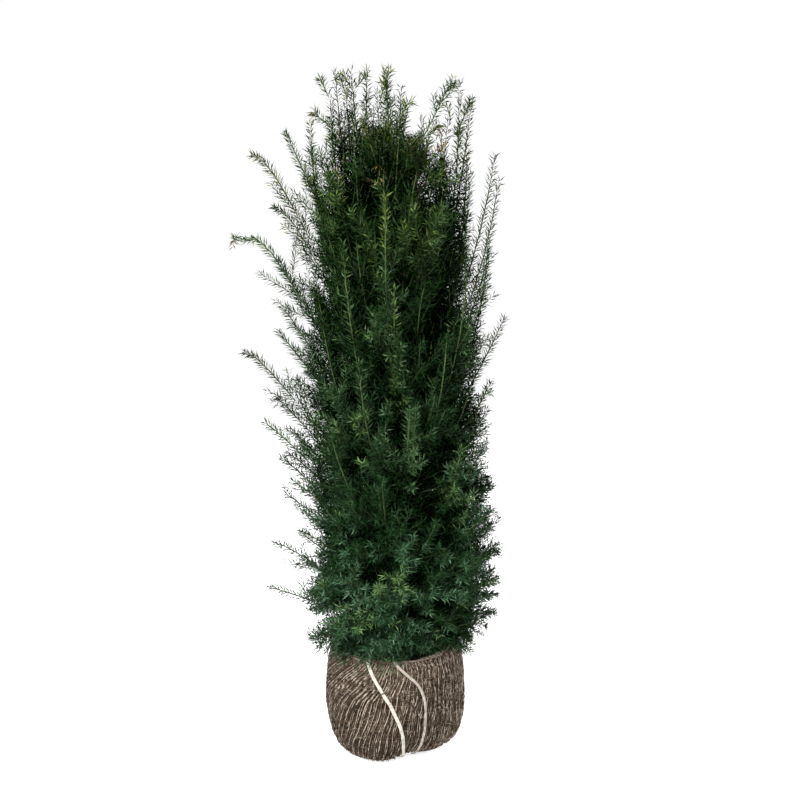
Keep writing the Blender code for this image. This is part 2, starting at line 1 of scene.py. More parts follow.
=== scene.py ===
"""The looks of a young columnar yew on a root ball that is wrapped in jute.

Metres, +Z up, in the plant's own frame. The trunk, the boughs and the growth lines are worked out
by the same rule as the plant's solids, and carried on from there to twigs and needles. Each growth
line leaves the trunk at a height, its start, on a bearing, and climbs outwards.
"""

import math

import bpy
import numpy as np
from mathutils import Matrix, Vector, noise


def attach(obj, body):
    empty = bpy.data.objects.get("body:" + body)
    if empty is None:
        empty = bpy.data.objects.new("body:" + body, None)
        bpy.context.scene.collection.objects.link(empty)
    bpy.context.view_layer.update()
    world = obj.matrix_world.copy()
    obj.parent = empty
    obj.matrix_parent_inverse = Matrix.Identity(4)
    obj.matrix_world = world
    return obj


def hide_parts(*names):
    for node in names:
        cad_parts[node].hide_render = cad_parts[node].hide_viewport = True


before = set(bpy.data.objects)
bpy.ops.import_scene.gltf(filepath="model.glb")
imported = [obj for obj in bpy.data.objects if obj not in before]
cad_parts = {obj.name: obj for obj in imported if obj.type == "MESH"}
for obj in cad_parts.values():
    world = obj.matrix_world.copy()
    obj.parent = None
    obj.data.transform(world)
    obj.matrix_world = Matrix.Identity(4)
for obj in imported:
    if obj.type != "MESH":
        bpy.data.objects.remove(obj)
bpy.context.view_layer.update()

UP = np.array((0.0, 0.0, 1.0))
GOLDEN_TURN = math.radians(137.5)
SEED = 41

# Root ball, wrap and twine, as in the plant's solids. The ball is turned from a belly, a mouth and a
# foot, and then moved in and out by its lobes, the notches that the twine draws in, its heel and its
# flap.
BELLY_RADIUS = 0.141
BELLY_HEIGHT = 0.135
MOUTH_RADIUS = 0.118
RIM_HEIGHT = 0.212
FOOT_RADIUS = 0.091
LIP = 0.014
SOIL_HEIGHT = 0.203
LITTER = 700  # dead needles on the soil
LITTER_LENGTH = (0.008, 0.016)
LITTER_BELLY = 0.4
NOTCH_BEARING = math.radians(-74)
NOTCH_WIDTH = math.radians(20)
NOTCH_DEPTH = 0.20
NOTCH_LIFT = 0.008
FRONT_LOBE = math.radians(-112)
LOBES = ((FRONT_LOBE, 0.13), (math.radians(5), 0.10), (math.radians(150), 0.05))
OVAL = 0.012
# Bearing, width and lift of the tucked-up heel, and of the flap where the wrap's edge stands up
HEEL = (math.radians(-38), math.radians(24), 0.010)
FLAP = (math.radians(-8), math.radians(30), 0.014)
# Height and bearing in degrees along the twines
TWINE_LEFT = ((0.0, -82), (0.08, -84), (0.117, -90), (0.16, -100), (0.212, -115))
TWINE_RIGHT = ((0.0, -67), (0.08, -65), (0.14, -66), (0.172, -71), (0.212, -91))
TIE_HEIGHT = 0.2185
TIE_RADIUS = 0.022
TIE_WIRE = 0.0025
TIE_WAVE = 0.0012
TWINE_WIDTH = 0.0062
TWINE_THICKNESS = 0.0024
TWINE_LIFT = 0.0042
SIDE_STEPS = 90  # points along a twine on the side of the ball, and on its bridge to the tie
BRIDGE_STEPS = 24
TWINE_JOIN = 0.40  # how far down the side of the ball the join of the left twine is

# Trunk, boughs and crown, as in the plant's solids
TRUNK_TOP = 1.15
TRUNK_RADIUS = ((0.203, 0.0235), (0.222, 0.0175), (0.265, 0.0135), (0.70, 0.0095), (TRUNK_TOP, 0.0036))
TRUNK_BARK_DEPTH = 0.0012
TRUNK_FLAKES = 160  # flakes of bark, a metre round the limb
BOUGH_BARK_DEPTH = 0.0006
BOUGH_FLAKES = 220
TRUNK_SWAY = 0.007
TRUNK_LEAN = -0.010
BOUGH_OUT = 0.045
BOUGH_CLIMB = 0.11
BOUGH_STAGGER = 0.022
BOUGH_FOOT = 0.221
BOUGH_BEND = 0.45
BOUGH_ARRIVAL = 1.25
BOUGH_RADIUS = ((0.25, 0.0062), (1.15, 0.0030))
BOUGH_TIP_SHARE = 0.5
RISE = ((0.20, 0.0), (0.30, 0.55), (0.46, 0.98), (0.93, 1.65), (1.12, 3.2))
CROWN_TOP = 1.378
# The dense body inside the crown's outline: its radius by height
BODY_RADIUS = (
    (0.215, 0.122),
    (0.26, 0.168),
    (0.30, 0.182),
    (0.40, 0.192),
    (0.60, 0.172),
    (0.85, 0.164),
    (0.95, 0.140),
    (1.01, 0.152),
    (1.06, 0.172),
    (1.11, 0.176),
    (1.16, 0.152),
    (1.22, 0.122),
    (1.30, 0.098),
)
# How far the body leans to the right at each height
BODY_SWAY = (
    (0.215, 0.0),
    (0.32, 0.008),
    (0.38, 0.034),
    (0.45, 0.036),
    (0.55, 0.022),
    (0.65, 0.012),
    (0.74, -0.012),
    (0.82, -0.002),
    (0.93, -0.010),
    (1.00, -0.004),
    (1.09, 0.004),
    (1.16, 0.012),
    (1.25, 0.0),
)
# How high the body goes at a distance out
BODY_TOP = ((0.0, 1.245), (0.09, 1.235), (0.125, 1.205), (0.16, 1.16), (0.20, 1.08))
TOP_LEAN = -0.45  # how much lower the top is per metre to the right
# Where the sprays of the body part and show its dark inside: three waves round and up the plant,
# each as turns round it, radians a metre up it and a shift
PARTINGS = ((7, 17, 0.4), (12, -29, 2.1), (17, 41, 4.4))
PARTING_DEPTH = 0.26
TIERS = ("skirt", "lower", "middle", "upper", "shoulder", "crown")
TIER_STARTS = (0.226, 0.33, 0.46, 0.61, 0.77, 0.93, 1.12)
MASSES_PER_TIER = 4
FIRST_BEARING = math.radians(20)
TIER_TURN = math.radians(45)
HALF_TURN = math.pi / MASSES_PER_TIER

# Long shoots that stand out of the crown: bearing in degrees, height and distance out of the tip,
# how strongly the shoot bends upwards on its way, and how far it rises before its tip nods
LONG_SHOOTS = (
    (178, 1.036, 0.302, 0.00, 0.040),
    (187, 0.819, 0.303, 0.00, 0.022),
    (173, 1.204, 0.290, 0.00, 0.030),
    (184, 1.243, 0.214, 0.10, 0.012),
    (176, 1.102, 0.246, 0.00, 0.022),
    (190, 1.002, 0.232, 0.05, 0.000),
    (170, 0.904, 0.234, 0.05, 0.004),
    (185, 0.861, 0.234, 0.05, 0.000),
    (193, 0.685, 0.268, 0.00, 0.004),
    (168, 0.721, 0.254, 0.00, 0.000),
    (176, 0.601, 0.240, 0.00, 0.004),
    (172, 0.521, 0.236, 0.00, 0.000),
    (192, 0.463, 0.204, 0.00, 0.000),
    (181, 0.426, 0.256, 0.00, 0.006),
    (170, 0.375, 0.192, 0.00, 0.000),
    (188, 0.340, 0.267, 0.00, 0.004),
    (190, 1.211, 0.160, 0.30, 0.004),
    (5, 1.203, 0.197, 0.40, 0.000),
    (354, 1.156, 0.203, 0.38, 0.000),
    (12, 1.186, 0.148, 0.40, 0.004),
    (357, 1.023, 0.187, 0.30, 0.000),
    (2, 0.971, 0.186, 0.25, 0.000),
    (353, 0.890, 0.218, 0.22, 0.000),
    (9, 0.700, 0.192, 0.15, 0.004),
    (356, 0.761, 0.194, 0.15, 0.000),
    (4, 0.634, 0.191, 0.10, 0.004),
    (352, 0.554, 0.203, 0.05, 0.004),
    (357, 0.480, 0.217, 0.05, 0.004),
    (3, 0.405, 0.220, 0.00, 0.006),
    (345, 0.440, 0.222, 0.05, 0.004),
    (18, 0.450, 0.214, 0.05, 0.004),
    (338, 0.365, 0.226, 0.00, 0.004),
    (14, 0.350, 0.222, 0.00, 0.006),
    (350, 0.290, 0.216, 0.00, 0.006),
    (328, 0.520, 0.220, 0.05, 0.004),
    (6, 0.306, 0.221, 0.00, 0.008),
    (352, 0.282, 0.214, 0.00, 0.008),
    (1, 0.266, 0.204, 0.00, 0.010),
    (338, 0.270, 0.205, 0.00, 0.010),
    (12, 0.300, 0.205, 0.00, 0.006),
    (347, 0.330, 0.216, 0.00, 0.004),
    (184, 0.560, 0.216, 0.00, 0.002),
    (176, 0.500, 0.212, 0.00, 0.002),
    (188, 0.620, 0.222, 0.00, 0.002),
    (180, 0.660, 0.216, 0.00, 0.002),
    (171, 0.440, 0.206, 0.00, 0.002),
    (186, 0.400, 0.200, 0.00, 0.002),
    (266, 1.120, 0.226, 0.20, 0.010),
    (277, 0.740, 0.238, 0.10, 0.012),
    (262, 0.400, 0.236, 0.00, 0.010),
    (95, 1.080, 0.248, 0.15, 0.016),
    (84, 0.660, 0.240, 0.05, 0.012),
    (99, 0.340, 0.235, 0.00, 0.010),
)
# Leaders, which rise almost upright near the top, in the same terms
LEADERS = (
    (171, 1.360, 0.117, 0.55, 0.000),
    (188, 1.310, 0.124, 0.50, 0.000),
    (196, 1.358, 0.086, 0.55, 0.000),
    (192, 1.285, 0.124, 0.52, 0.000),
    (179, 1.275, 0.108, 0.52, 0.000),
    (205, 1.280, 0.098, 0.52, 0.000),
    (186, 1.225, 0.132, 0.50, 0.000),
    (150, 1.340, 0.112, 0.52, 0.000),
    (174, 1.300, 0.098, 0.52, 0.000),
    (160, 1.370, 0.057, 0.50, 0.000),
    (135, 1.300, 0.060, 0.50, 0.000),
    (205, 1.364, 0.022, 0.40, 0.000),
    (120, 1.310, 0.030, 0.40, 0.000),
    (60, 1.335, 0.026, 0.40, 0.000),
    (310, 1.298, 0.034, 0.45, 0.000),
    (352, 1.338, 0.124, 0.58, 0.000),
    (2, 1.312, 0.149, 0.52, 0.000),
    (340, 1.268, 0.108, 0.50, 0.000),
    (350, 1.250, 0.090, 0.50, 0.000),
    (30, 1.276, 0.062, 0.50, 0.000),
    (165, 1.266, 0.173, 0.30, 0.018),
    (120, 1.330, 0.072, 0.50, 0.000),
    (80, 1.270, 0.040, 0.50, 0.000),
    (250, 1.296, 0.070, 0.50, 0.000),
    (276, 1.258, 0.090, 0.50, 0.000),
    (222, 1.312, 0.110, 0.50, 0.000),
    (6, 1.194, 0.142, 0.50, 0.000),
    (350, 1.166, 0.150, 0.50, 0.000),
)
# Short sprays near the top: where each leaves its leader and where it ends, to the side, in depth
# and in height, how far it rises before it nods, and the tone of its tip
TOP_SPRAYS = (
    ((0.043, -0.03, 1.205), (0.116, -0.04, 1.326), 0.012, ""),
    ((-0.126, 0.00, 1.298), (-0.147, 0.00, 1.345), 0.000, ""),
    ((-0.080, -0.01, 1.312), (-0.103, -0.02, 1.344), 0.004, ""),
    ((-0.078, 0.00, 1.315), (-0.047, -0.01, 1.347), 0.002, ""),
    ((-0.020, 0.00, 1.290), (-0.010, 0.00, 1.335), 0.000, ""),
    ((0.107, -0.02, 1.256), (0.097, -0.03, 1.288), 0.000, ""),
    ((-0.292, 0.01, 1.036), (-0.324, 0.00, 1.008), 0.014, "bronze"),
    ((0.056, -0.05, 1.225), (0.092, -0.06, 1.222), 0.020, "bronze"),
    ((0.112, 0.01, 1.236), (0.132, 0.00, 1.212), 0.022, "bronze"),
    ((-0.122, 0.00, 1.250), (-0.168, -0.01, 1.258), 0.016, "bronze"),
    ((-0.030, -0.02, 1.285), (-0.008, -0.02, 1.362), -0.006, ""),
    ((-0.088, -0.03, 1.290), (-0.108, -0.03, 1.344), 0.004, "fresh"),
    ((-0.060, -0.06, 1.170), (-0.020, -0.08, 1.128), 0.030, "bronze"),
    ((0.000, -0.05, 1.240), (0.034, -0.06, 1.292), 0.004, "fresh"),
    ((0.120, 0.00, 1.230), (0.148, -0.01, 1.306), -0.004, "fresh"),
    ((-0.140, 0.00, 1.120), (-0.172, -0.01, 1.126), 0.018, "bronze"),
    ((0.116, -0.03, 0.232), (0.158, -0.04, 0.236), 0.004, "bronze"),
)
# Shoots that stand a little proud of the body all round
PROUD_SHOOTS = 44
PROUD_FROM = 0.34
PROUD_TO = 1.08
PROUD_BY = 0.026  # at most, as a wave from shoot to shoot makes it less
PROUD_WAVE = 2.3
PROUD_BOW = 0.5  # at the top of the crown, and none at the lowest of them
PROUD_NOD = 0.004
LEADER_COUNT = len(LEADERS) + len(TOP_SPRAYS)
LONG_COUNT = len(LONG_SHOOTS) + PROUD_SHOOTS + LEADER_COUNT
# Sprays that hang over the rim of the wrap: bearing in degrees, height and distance out of the tip
DROOPING = (
    (-178, 0.222, 0.190),
    (-160, 0.196, 0.178),
    (-146, 0.206, 0.158),
    (-134, 0.200, 0.150),
    (-122, 0.194, 0.152),
    (-111, 0.190, 0.149),
    (-101, 0.190, 0.147),
    (-92, 0.194, 0.144),
    (-84, 0.202, 0.138),
    (-44, 0.224, 0.140),
    (-26, 0.214, 0.160),
    (-8, 0.214, 0.172),
    (14, 0.206, 0.158),
    (36, 0.200, 0.152),
    (60, 0.206, 0.150),
    (83, 0.196, 0.149),
    (104, 0.204, 0.152),
    (126, 0.198, 0.154),
    (150, 0.210, 0.160),
    (168, 0.204, 0.172),
)
DROOPING_FEET = (0.02, 0.05)  # how far above the lowest bough they leave the trunk
RIM_CLEARANCE = 0.032  # how far above the wrap's edge they rise on their way

# Growth of the branches
TUFT = 0.011  # how far the needles reach past the tip of their shoot
WEDGE_SHARE = 0.98  # how much of the width of a mass its branches take up
BOUGH_BRANCHES = 9  # branches on each bough, and beside it on the trunk
TRUNK_BRANCHES = 8
BOUGH_REACH = (0.84, 1.14)  # how far out they go, as shares of the body's reach
TRUNK_REACH = (0.62, 1.10)
BOUGH_STEPS = 21  # steps along a bough, and how many of them from its foot bear no branches
BOUGH_BARE_STEPS = 11
BOUGH_BOW = 0.6  # how bent they are, as shares of the usual bow
TRUNK_BOW = (0.8, 1.3)
FOOT_BELOW = 0.02  # how far below its growth line a branch leaves the trunk
TOP_MARGIN = 0.01  # how far below the tip of the trunk its last branch leaves it
LEADER_RUN = (0.22, 2.2)  # how far below its tip a leader starts, and how much more per metre out
# How far the branches of each kind wander from their smooth paths
WANDER = {"bough": 0.005, "trunk": 0.006, "long": 0.003, "leader": 0.007, "drooping": 0.002}
NOD_SHARE = 9.5  # makes the highest point of a nod as high as the nod is said to be
BRANCH_POINTS = 9
BRANCH_RADIUS = 0.0018
BRANCH_TIP_RADIUS = 0.0011
ELBOW = 0.70  # where a branch bends up, as a share of its way out, without any bow
ELBOW_OUT = 0.30  # how much further out that is, and how much lower, per unit of bow
ELBOW_DOWN = 0.85
BOW = ((0.25, 0.0), (0.50, 0.05), (0.80, 0.14), (0.95, 0.26), (1.10, 0.40))
DROP = 0.42  # how far lower than its growth line a bent branch leaves the trunk, per unit of bow

# Growth of the shoots: their spacing, greatest length and lean in degrees are by height
SHOOT_POINTS = 4
SHOOT_RADIUS = 0.0011
TIP_RADIUS = 0.0006
SHORTER = 0.62  # how much shorter the shoots near the tip of their parent are
SHOOT_RANGE = (0.5, 1.1)  # the least and the greatest length, as shares of the usual one
ROUND_SCATTER = 0.3  # how unevenly they are spread round their parent, and how unevenly they lean
LEAN_SCATTER = 0.12
FLATTENED = 0.45  # how much less they stand up and down from a level parent than to its sides
LIFT = 0.36  # how much a shoot bends up, and how much less it does so low down
LESS_LOW = 0.5
LOW_HEIGHTS = (0.34, 0.24)
OUTWARD = 0.08  # how much it bends away from the trunk
LEAST_KEPT_OUT = 0.3  # how much of a shoot stays when it is cut back to the body's side, or its top
LEAST_KEPT_UP = 0.1
SHOOT_SPACING = ((0.25, 0.0092), (0.70, 0.0112), (1.05, 0.0155), (1.25, 0.0220))
SHOOT_LENGTH = ((0.25, 0.105), (0.60, 0.125), (1.00, 0.140), (1.30, 0.080))
SHOOT_LEAN = ((0.30, 50.0), (0.70, 42.0), (1.05, 30.0), (1.30, 26.0))
SPRIG_SPACING = ((0.25, 0.042), (0.60, 0.058), (0.90, 0.10), (1.10, 0.20))
SPRIG_LENGTH = ((0.25, 0.036), (1.00, 0.036))
SPRIG_POINTS = 3
FIRST_SHOOT = 0.10  # where the side shoots of a branch begin and end, as shares of its length
LAST_SHOOT = 0.84
LAST_ON_LONG = 0.60  # the long shoots and leaders bear side shoots up to here, and fewer
FEWER_ON_LONG = 0.7
FIRST_ON_LEADER = 0.35
LAST_ON_LEADER = 0.88
LEADER_SPACING = 0.012
LEADER_SHOOT = 0.062
LEADER_SHOOT_LEAN = (20, 42)
LEADER_SHORTER = 1.20  # their length falls to nothing at this share of the leader, past its tip
LEADER_LIFT = 0.35
FULL_LEADER = 0.16  # the leaders under this length bear shorter shoots

# Needles
NEEDLE_PITCH = 0.0026
NEEDLE_LENGTH = 0.0172
NEEDLE_WIDTH = 0.0021
NEEDLE_DEPTH = 0.0008
COARSE = 2.6  # how much fewer and wider the needles deep in the crown are, low down and at the top
COARSE_HIGH = 1.2
CROWDED = 0.50  # how much closer they sit on the long shoots
CLOSE = 0.60  # and on the other shoots in the light
NEEDLE_LEAN = 0.99  # how far they lean out of their shoot, in radians, and how unevenly
LEAN_UNEVEN = 0.09
TIP_LEAN = 0.08  # how much less the needles at a shoot's tip lean, and how much more unevenly
TIP_UNEVEN = 0.28
NEEDLE_RANGE = (0.82, 1.1)  # the least and the greatest length, as shares of the usual one
TIP_SHORTER = 0.18  # how much shorter they are at a shoot's tip
NEEDLE_BELLY = 0.42  # where a needle is widest
NEEDLE_SWEEP = 0.10  # how far its tip bends along the shoot, and down, as shares of its length
NEEDLE_HOOK = 0.04
FLAT_SPREAD = 0.5  # how flat the needles of a level shoot lie, and how far they turn to the light
TOWARDS_LIGHT = 0.20
DARK_NEEDLES = 0.28  # how many of the needles in the light are dark ones
FRESH_FROM = 0.72  # where the new growth at a shoot's tip begins
FRESH_TIPS = 0.05  # how many tips in the light have fresh growth, and how many more do high up
MORE_FRESH_HIGH = 0.12
BRONZE_TIPS = 0.006
BARE_BRANCH = 0.40  # how much of a branch, a leader, a top spray and a shoot bears no needles
BARE_LEADER = 0.25
BARE_SPRAY = 0.04
BARE_SHOOT = 0.06
BRANCH_TONE_POINT = 6  # the tone of a branch is that of this point on it
RIM_GAP = 0.003  # how far the needles stay clear of the wrap's edge, above it and beside it
MOUTH_GAP = 0.012

# Tones of the needles, on top and below: the undersides are painted darker than the tops, as painted shade on
# the faces turned from the light
TONES = {
    # The shade and deep tones are painted shade, for shoots deep in the crown
    "shade": ((0.0008, 0.0065, 0.0008), (0.0006, 0.0045, 0.0006)),
    "deep": ((0.009, 0.036, 0.008), (0.004, 0.020, 0.003)),
    "green": ((0.048, 0.110, 0.037), (0.014, 0.042, 0.010)),
    "cool": ((0.042, 0.112, 0.046), (0.014, 0.046, 0.014)),
    "fresh": ((0.092, 0.178, 0.046), (0.034, 0.078, 0.014)),
    "olive": ((0.098, 0.138, 0.040), (0.032, 0.052, 0.012)),
    "bronze": ((0.215, 0.145, 0.060), (0.180, 0.125, 0.060)),
}
# The plant is bluer below and more olive towards its top: each band's name, floor, roof, tiers and tint
BANDS = (
    ("low", -1.0, 0.62, (0, 1), (1.12, 1.10, 1.15)),
    ("middle", 0.62, 0.98, (2, 3), (0.93, 0.90, 0.90)),
    ("high", 0.98, 2.0, (4, 5), (1.24, 1.02, 0.64)),
)
BAND_SCATTER = 0.09  # how unevenly the bands run into each other
PATCHES = 8.0  # patches of one tone, a metre
# A shoot's depth is 1 at the outside of the body and 0 at the trunk. The deeper a shoot lies, the darker the
# tone it is given, as painted shade
DEPTH_SCATTER = 0.05
PARTED = 0.21  # how much deeper in the crown a shoot counts where the sprays part, and high up, so that it gets more painted shade there
PARTED_HIGH = 0.12
SHALLOW_LOW = 0.08  # how much less deep it counts low down, so that it gets less painted shade there
SHADE_UNDER = 0.70  # the depths under which a shoot is in the shade, and is a deep green: both dark tones are painted shade
DEEP_UNDER = 0.86
FRESH_OVER = 0.85  # the depth and the patch over which it may be fresh, and the patch for green
FRESH_PATCH = 1.12
GREEN_PATCH = 0.32
OLIVE_SHARE = 0.60  # how many shoots are olive at the top

# The weave of the wrap, with its yarn from pale to dark: each with the two colours it is mottled in
JUTE = (
    ("jute_pale", (0.23, 0.18, 0.135), (0.57, 0.49, 0.40)),
    ("jute_brown", (0.095, 0.068, 0.048), (0.30, 0.225, 0.165)),
    ("jute_dark", (0.030, 0.020, 0.014), (0.12, 0.085, 0.060)),
)
LOOSE_FIBRES = 420
FIBRE_RADIUS = 0.00045
THREAD_RADIUS = 0.00105
THREAD_STEPS = 96
WARP_THREADS = 270  # threads down the side of the ball, and round it
WEFT_THREADS = 54
WARP_LIFT = 0.0006  # how far they lie off the ground of the cloth, and go over and under each other
WEFT_LIFT = -0.0002
OVER_UNDER = 0.0005
WOBBLE = 0.004
WARP_TONES = (0.14, 0.62)  # the chances from which a stretch is brown, and dark
WEFT_TONES = (0.10, 0.50)
STRETCHES = 34  # a thread has this many stretches of one tone
PALE_BEARING = math.radians(-30)  # the threads are palest on this side
RIDGES = 90  # the cloth is drawn into this many narrow ridges that run down with its threads
RIDGE = 0.0015
SIDE_LENGTH = 0.255  # from the edge of the wrap to its foot, along its side
CREASE = 0.0045  # how deep a crease is, and how wide as a share of the side's length
CREASE_WIDTH = 0.022
# Creases of the cloth: bearing and width round the ball, how far down its side, and their slope
CREASES = (
    (math.radians(-40), 0.45, 0.80, 0.16),
    (math.radians(-28), 0.38, 0.90, 0.20),
    (math.radians(-100), 0.26, 0.88, -0.12),
    (math.radians(-76), 0.16, 0.52, 0.55),
    (math.radians(40), 0.50, 0.80, 0.10),
    (math.radians(130), 0.45, 0.86, -0.14),
    (math.radians(-165), 0.35, 0.88, 0.10),
)
RIM_CORDS = 4
RIM_CORD_RADIUS = 0.0011
FAN_WIDTH = math.radians(32)
# Where the threads fan out at the front: the middle of a fan, how much wider than usual it is on one
# side, how far it turns the threads, and between which shares of the way down
FANS = (
    (math.radians(-134), 2.2, 0.50, 0.0, 0.60),
    (math.radians(-110), 2.4, 0.72, 0.2, 1.0),
)
BACK_FAN = (math.radians(60), math.radians(40), 0.4)  # and the one behind: middle, width and turn

# Camera, floor and lamps
CAMERA_PLACE = (0.010, -2.27, 1.044)
CAMERA_PITCH = math.radians(8.3)
LENS = 51.75
SENSOR = 36
FLOOR_GLOW = (0.10, 0.80)  # as it lights the plant, and as it is seen
ROOM_LIGHT = (0.17, 1.02)
LAMPS_AIM = Vector((0, 0, 0.7))
# Each lamp's place, its side and its power in watts
LAMPS = (
    ((-1.5, -2.0, 3.0), 1.4, 190),
    ((2.4, -1.8, 2.2), 1.8, 55),
    ((0.4, 2.2, 2.8), 2.0, 60),
)


# ---------------------------------------------------------------- numbers


def between(value, table):
    """Reads amounts from pairs of place and amount, eased from each pair to the next."""
    places, amounts = np.array(table, float).T
    value = np.clip(value, places[0], places[-1])
    index = np.clip(np.searchsorted(places, value, side="right") - 1, 0, len(places) - 2)
    share = (value - places[index]) / (places[index + 1] - places[index])
    share = share * share * (3 - 2 * share)
    return amounts[index] + (amounts[index + 1] - amounts[index]) * share


def turn_between(one, other):
    return (other - one + math.pi) % math.tau - math.pi


def unit(vectors):
    return vectors / np.maximum(np.linalg.norm(vectors, axis=-1, keepdims=True), 1e-9)


def dot(one, other):
    return np.sum(one * other, axis=-1, keepdims=True)


def eased(low, high, value):
    share = np.clip((value - low) / (high - low), 0, 1)
    return share * share * (3 - 2 * share)


def polar(bearing, out, height):
    """Places at a distance out on a bearing, at a height."""
    return np.stack((out * np.cos(bearing), out * np.sin(bearing), height), axis=-1)


def curved(foot, elbow, tip, steps):
    """Paths from feet to tips that bend towards their elbows on the way."""
    share = np.linspace(0, 1, steps)[None, :, None]
    foot, elbow, tip = foot[:, None], elbow[:, None], tip[:, None]
    return foot * (1 - share) ** 2 + elbow * 2 * share * (1 - share) + tip * share**2


def ring_quads(steps, sides):
    """The quads between rings of points, one ring after the other."""
    corner = np.arange(sides)
    beside = (corner + 1) % sides
    step = np.arange(steps - 1)[:, None] * sides
    quads = np.stack((step + corner, step + beside, step + sides + beside, step + sides + corner), axis=-1)
    return quads.reshape(-1, 4)


# ---------------------------------------------------------------- the growth rule


def trunk_place(height):
    """The middle of the trunk at a height: a slight double bend and a lean."""
    height = np.asarray(height, float)
    share = (height - SOIL_HEIGHT) / (TRUNK_TOP - SOIL_HEIGHT)
    side = TRUNK_LEAN * share + TRUNK_SWAY * np.sin(math.tau * share)
    return np.stack((side, TRUNK_SWAY * np.sin(math.pi * share) / 2, height), axis=-1)


def rise_at(start):
    return between(start, RISE)


def crown_point(bearing, start, out):
    return polar(bearing, out, start + rise_at(start) * out)


def start_below(out, height):
    """The start of the growth line that passes a distance out at a height."""
    low, high = 0.0, CROWN_TOP
    for _ in range(40):
        middle = (low + high) / 2
        if middle + rise_at(middle) * out < height:
            low = middle
        else:
            high = middle
    return low


def body_reach(bearing, height):
    """How far out the dense body goes on a bearing at a height."""
    return between(height, BODY_RADIUS) + between(height, BODY_SWAY) * np.cos(bearing)


def body_top(bearing, out):
    """How high the dense body goes at a distance out: higher on the side where the leaders are."""
    return between(out, BODY_TOP) + TOP_LEAN * out * np.cos(bearing)


def parting(bearing, height):
    """How far the sprays part on a bearing at a height: from 0 where they are full to 1."""
    waves = sum(np.sin(turns * bearing + climb * height + shift) for turns, climb, shift in PARTINGS)
    return eased(0.15, 0.75, waves / len(PARTINGS))


def folded_reach(bearing, height):
    """The reach of the dense body, drawn in where its sprays part."""
    return body_reach(bearing, height) * (1 - PARTING_DEPTH * parting(bearing, height))


def line_reach(bearing, start):
    """How far out growth lines meet the outside of the dense body."""
    low = np.zeros_like(start)
    high = np.full_like(start, 0.4)
    for _ in range(30):
        middle = (low + high) / 2
        height = start + rise_at(start) * middle
        inside = (middle < folded_reach(bearing, height)) & (height < body_top(bearing, middle))
        low = np.where(inside, middle, low)
        high = np.where(inside, high, middle)
    return low


class Mass:
    """One mass of foliage: the growth lines between two starts and two bearings."""

    def __init__(self, tier, number):
        self.tier = tier
        self.bearing = FIRST_BEARING + TIER_TURN * tier + math.tau * number / MASSES_PER_TIER
        self.low = TIER_STARTS[tier]
        self.high = TIER_STARTS[tier + 1]
        self.start = (self.low + self.high) / 2
        self.label = f"{TIERS[tier]}_{number + 1}"
        self.drop = BOUGH_CLIMB + BOUGH_STAGGER * number

    def bough(self, steps):
        """Middle line of the bough: up beside the trunk, then out to the foot of the mass."""
        tip = crown_point(self.bearing, self.start, BOUGH_OUT)
        foot = trunk_place(max(tip[2] - self.drop, BOUGH_FOOT))
        climb = rise_at(self.start) * BOUGH_ARRIVAL
        heading = unit(np.array((math.cos(self.bearing), math.sin(self.bearing), climb)))
        elbow = tip - heading * np.linalg.norm(tip - foot) * BOUGH_BEND
        return curved(foot[None], elbow[None], tip[None], steps)[0]

    def bough_radii(self, steps):
        root = between(self.start, BOUGH_RADIUS)
        return root * (1 - (1 - BOUGH_TIP_SHARE) * np.linspace(0, 1, steps))


MASSES = [Mass(tier, number) for tier in range(len(TIERS)) for number in range(MASSES_PER_TIER)]


# ---------------------------------------------------------------- twigs


def bent_paths(foot, tip, bow, nod, points):
    """Paths that leave their feet outwards, bend up on the way, and nod before their tips.

    They end short of their tips by as far as their last needles reach.
    """
    out = ELBOW + ELBOW_OUT * bow
    lead = np.stack((out, out, ELBOW - ELBOW_DOWN * bow), axis=-1)
    elbow = foot + (tip - foot) * lead
    tip = tip - unit(tip - elbow) * TUFT
    paths = curved(foot, elbow, tip, points)
    share = np.linspace(0, 1, points)
    paths[..., 2] += nod[:, None] * NOD_SHARE * share**3 * (1 - share)
    return paths


def wandering(paths, amount, rng):
    """Bends each path a little to and fro, and leaves both its ends in place."""
    share = np.linspace(0, 1, paths.shape[1])[None, :, None]
    first, second = rng.normal(0, amount, (2, len(paths), 1, 3))
    return paths + first * np.sin(math.pi * share) + second * np.sin(math.tau * share) / 2


def spread_lines(mass, count, reach, rng):
    """Growth lines spread evenly over the space of a mass, and how far out each one goes."""
    across = (rng.permutation(count) + rng.random(count)) / count
    up = (np.arange(count) + rng.random(count)) / count
    bearings = mass.bearing + HALF_TURN * (2 * across - 1) * WEDGE_SHARE
    starts = mass.low + (mass.high - mass.low) * up
    outs = line_reach(bearings, starts) * rng.uniform(*reach, count)
    return bearings, starts, outs


def bough_branches(mass, rng):
    """Branches that leave the outer half of a bough and fan out over the space of its mass."""
    bearings, starts, outs = spread_lines(mass, BOUGH_BRANCHES, BOUGH_REACH, rng)
    feet = mass.bough(BOUGH_STEPS)[rng.integers(BOUGH_BARE_STEPS, BOUGH_STEPS, BOUGH_BRANCHES)]
    bow = between(starts, BOW) * BOUGH_BOW
    paths = bent_paths(feet, crown_point(bearings, starts, outs), bow, np.zeros_like(bow), BRANCH_POINTS)
    return wandering(paths, WANDER["bough"], rng)


def trunk_branches(bearings, starts, outs, bow, nod):
    """Branches that leave the trunk itself, a little lower than their growth lines do."""
    heights = np.maximum(starts - DROP * bow - FOOT_BELOW, BOUGH_FOOT)
    feet = trunk_place(np.minimum(heights, TRUNK_TOP - TOP_MARGIN))
    return bent_paths(feet, crown_point(bearings, starts, outs), bow, nod, BRANCH_POINTS)


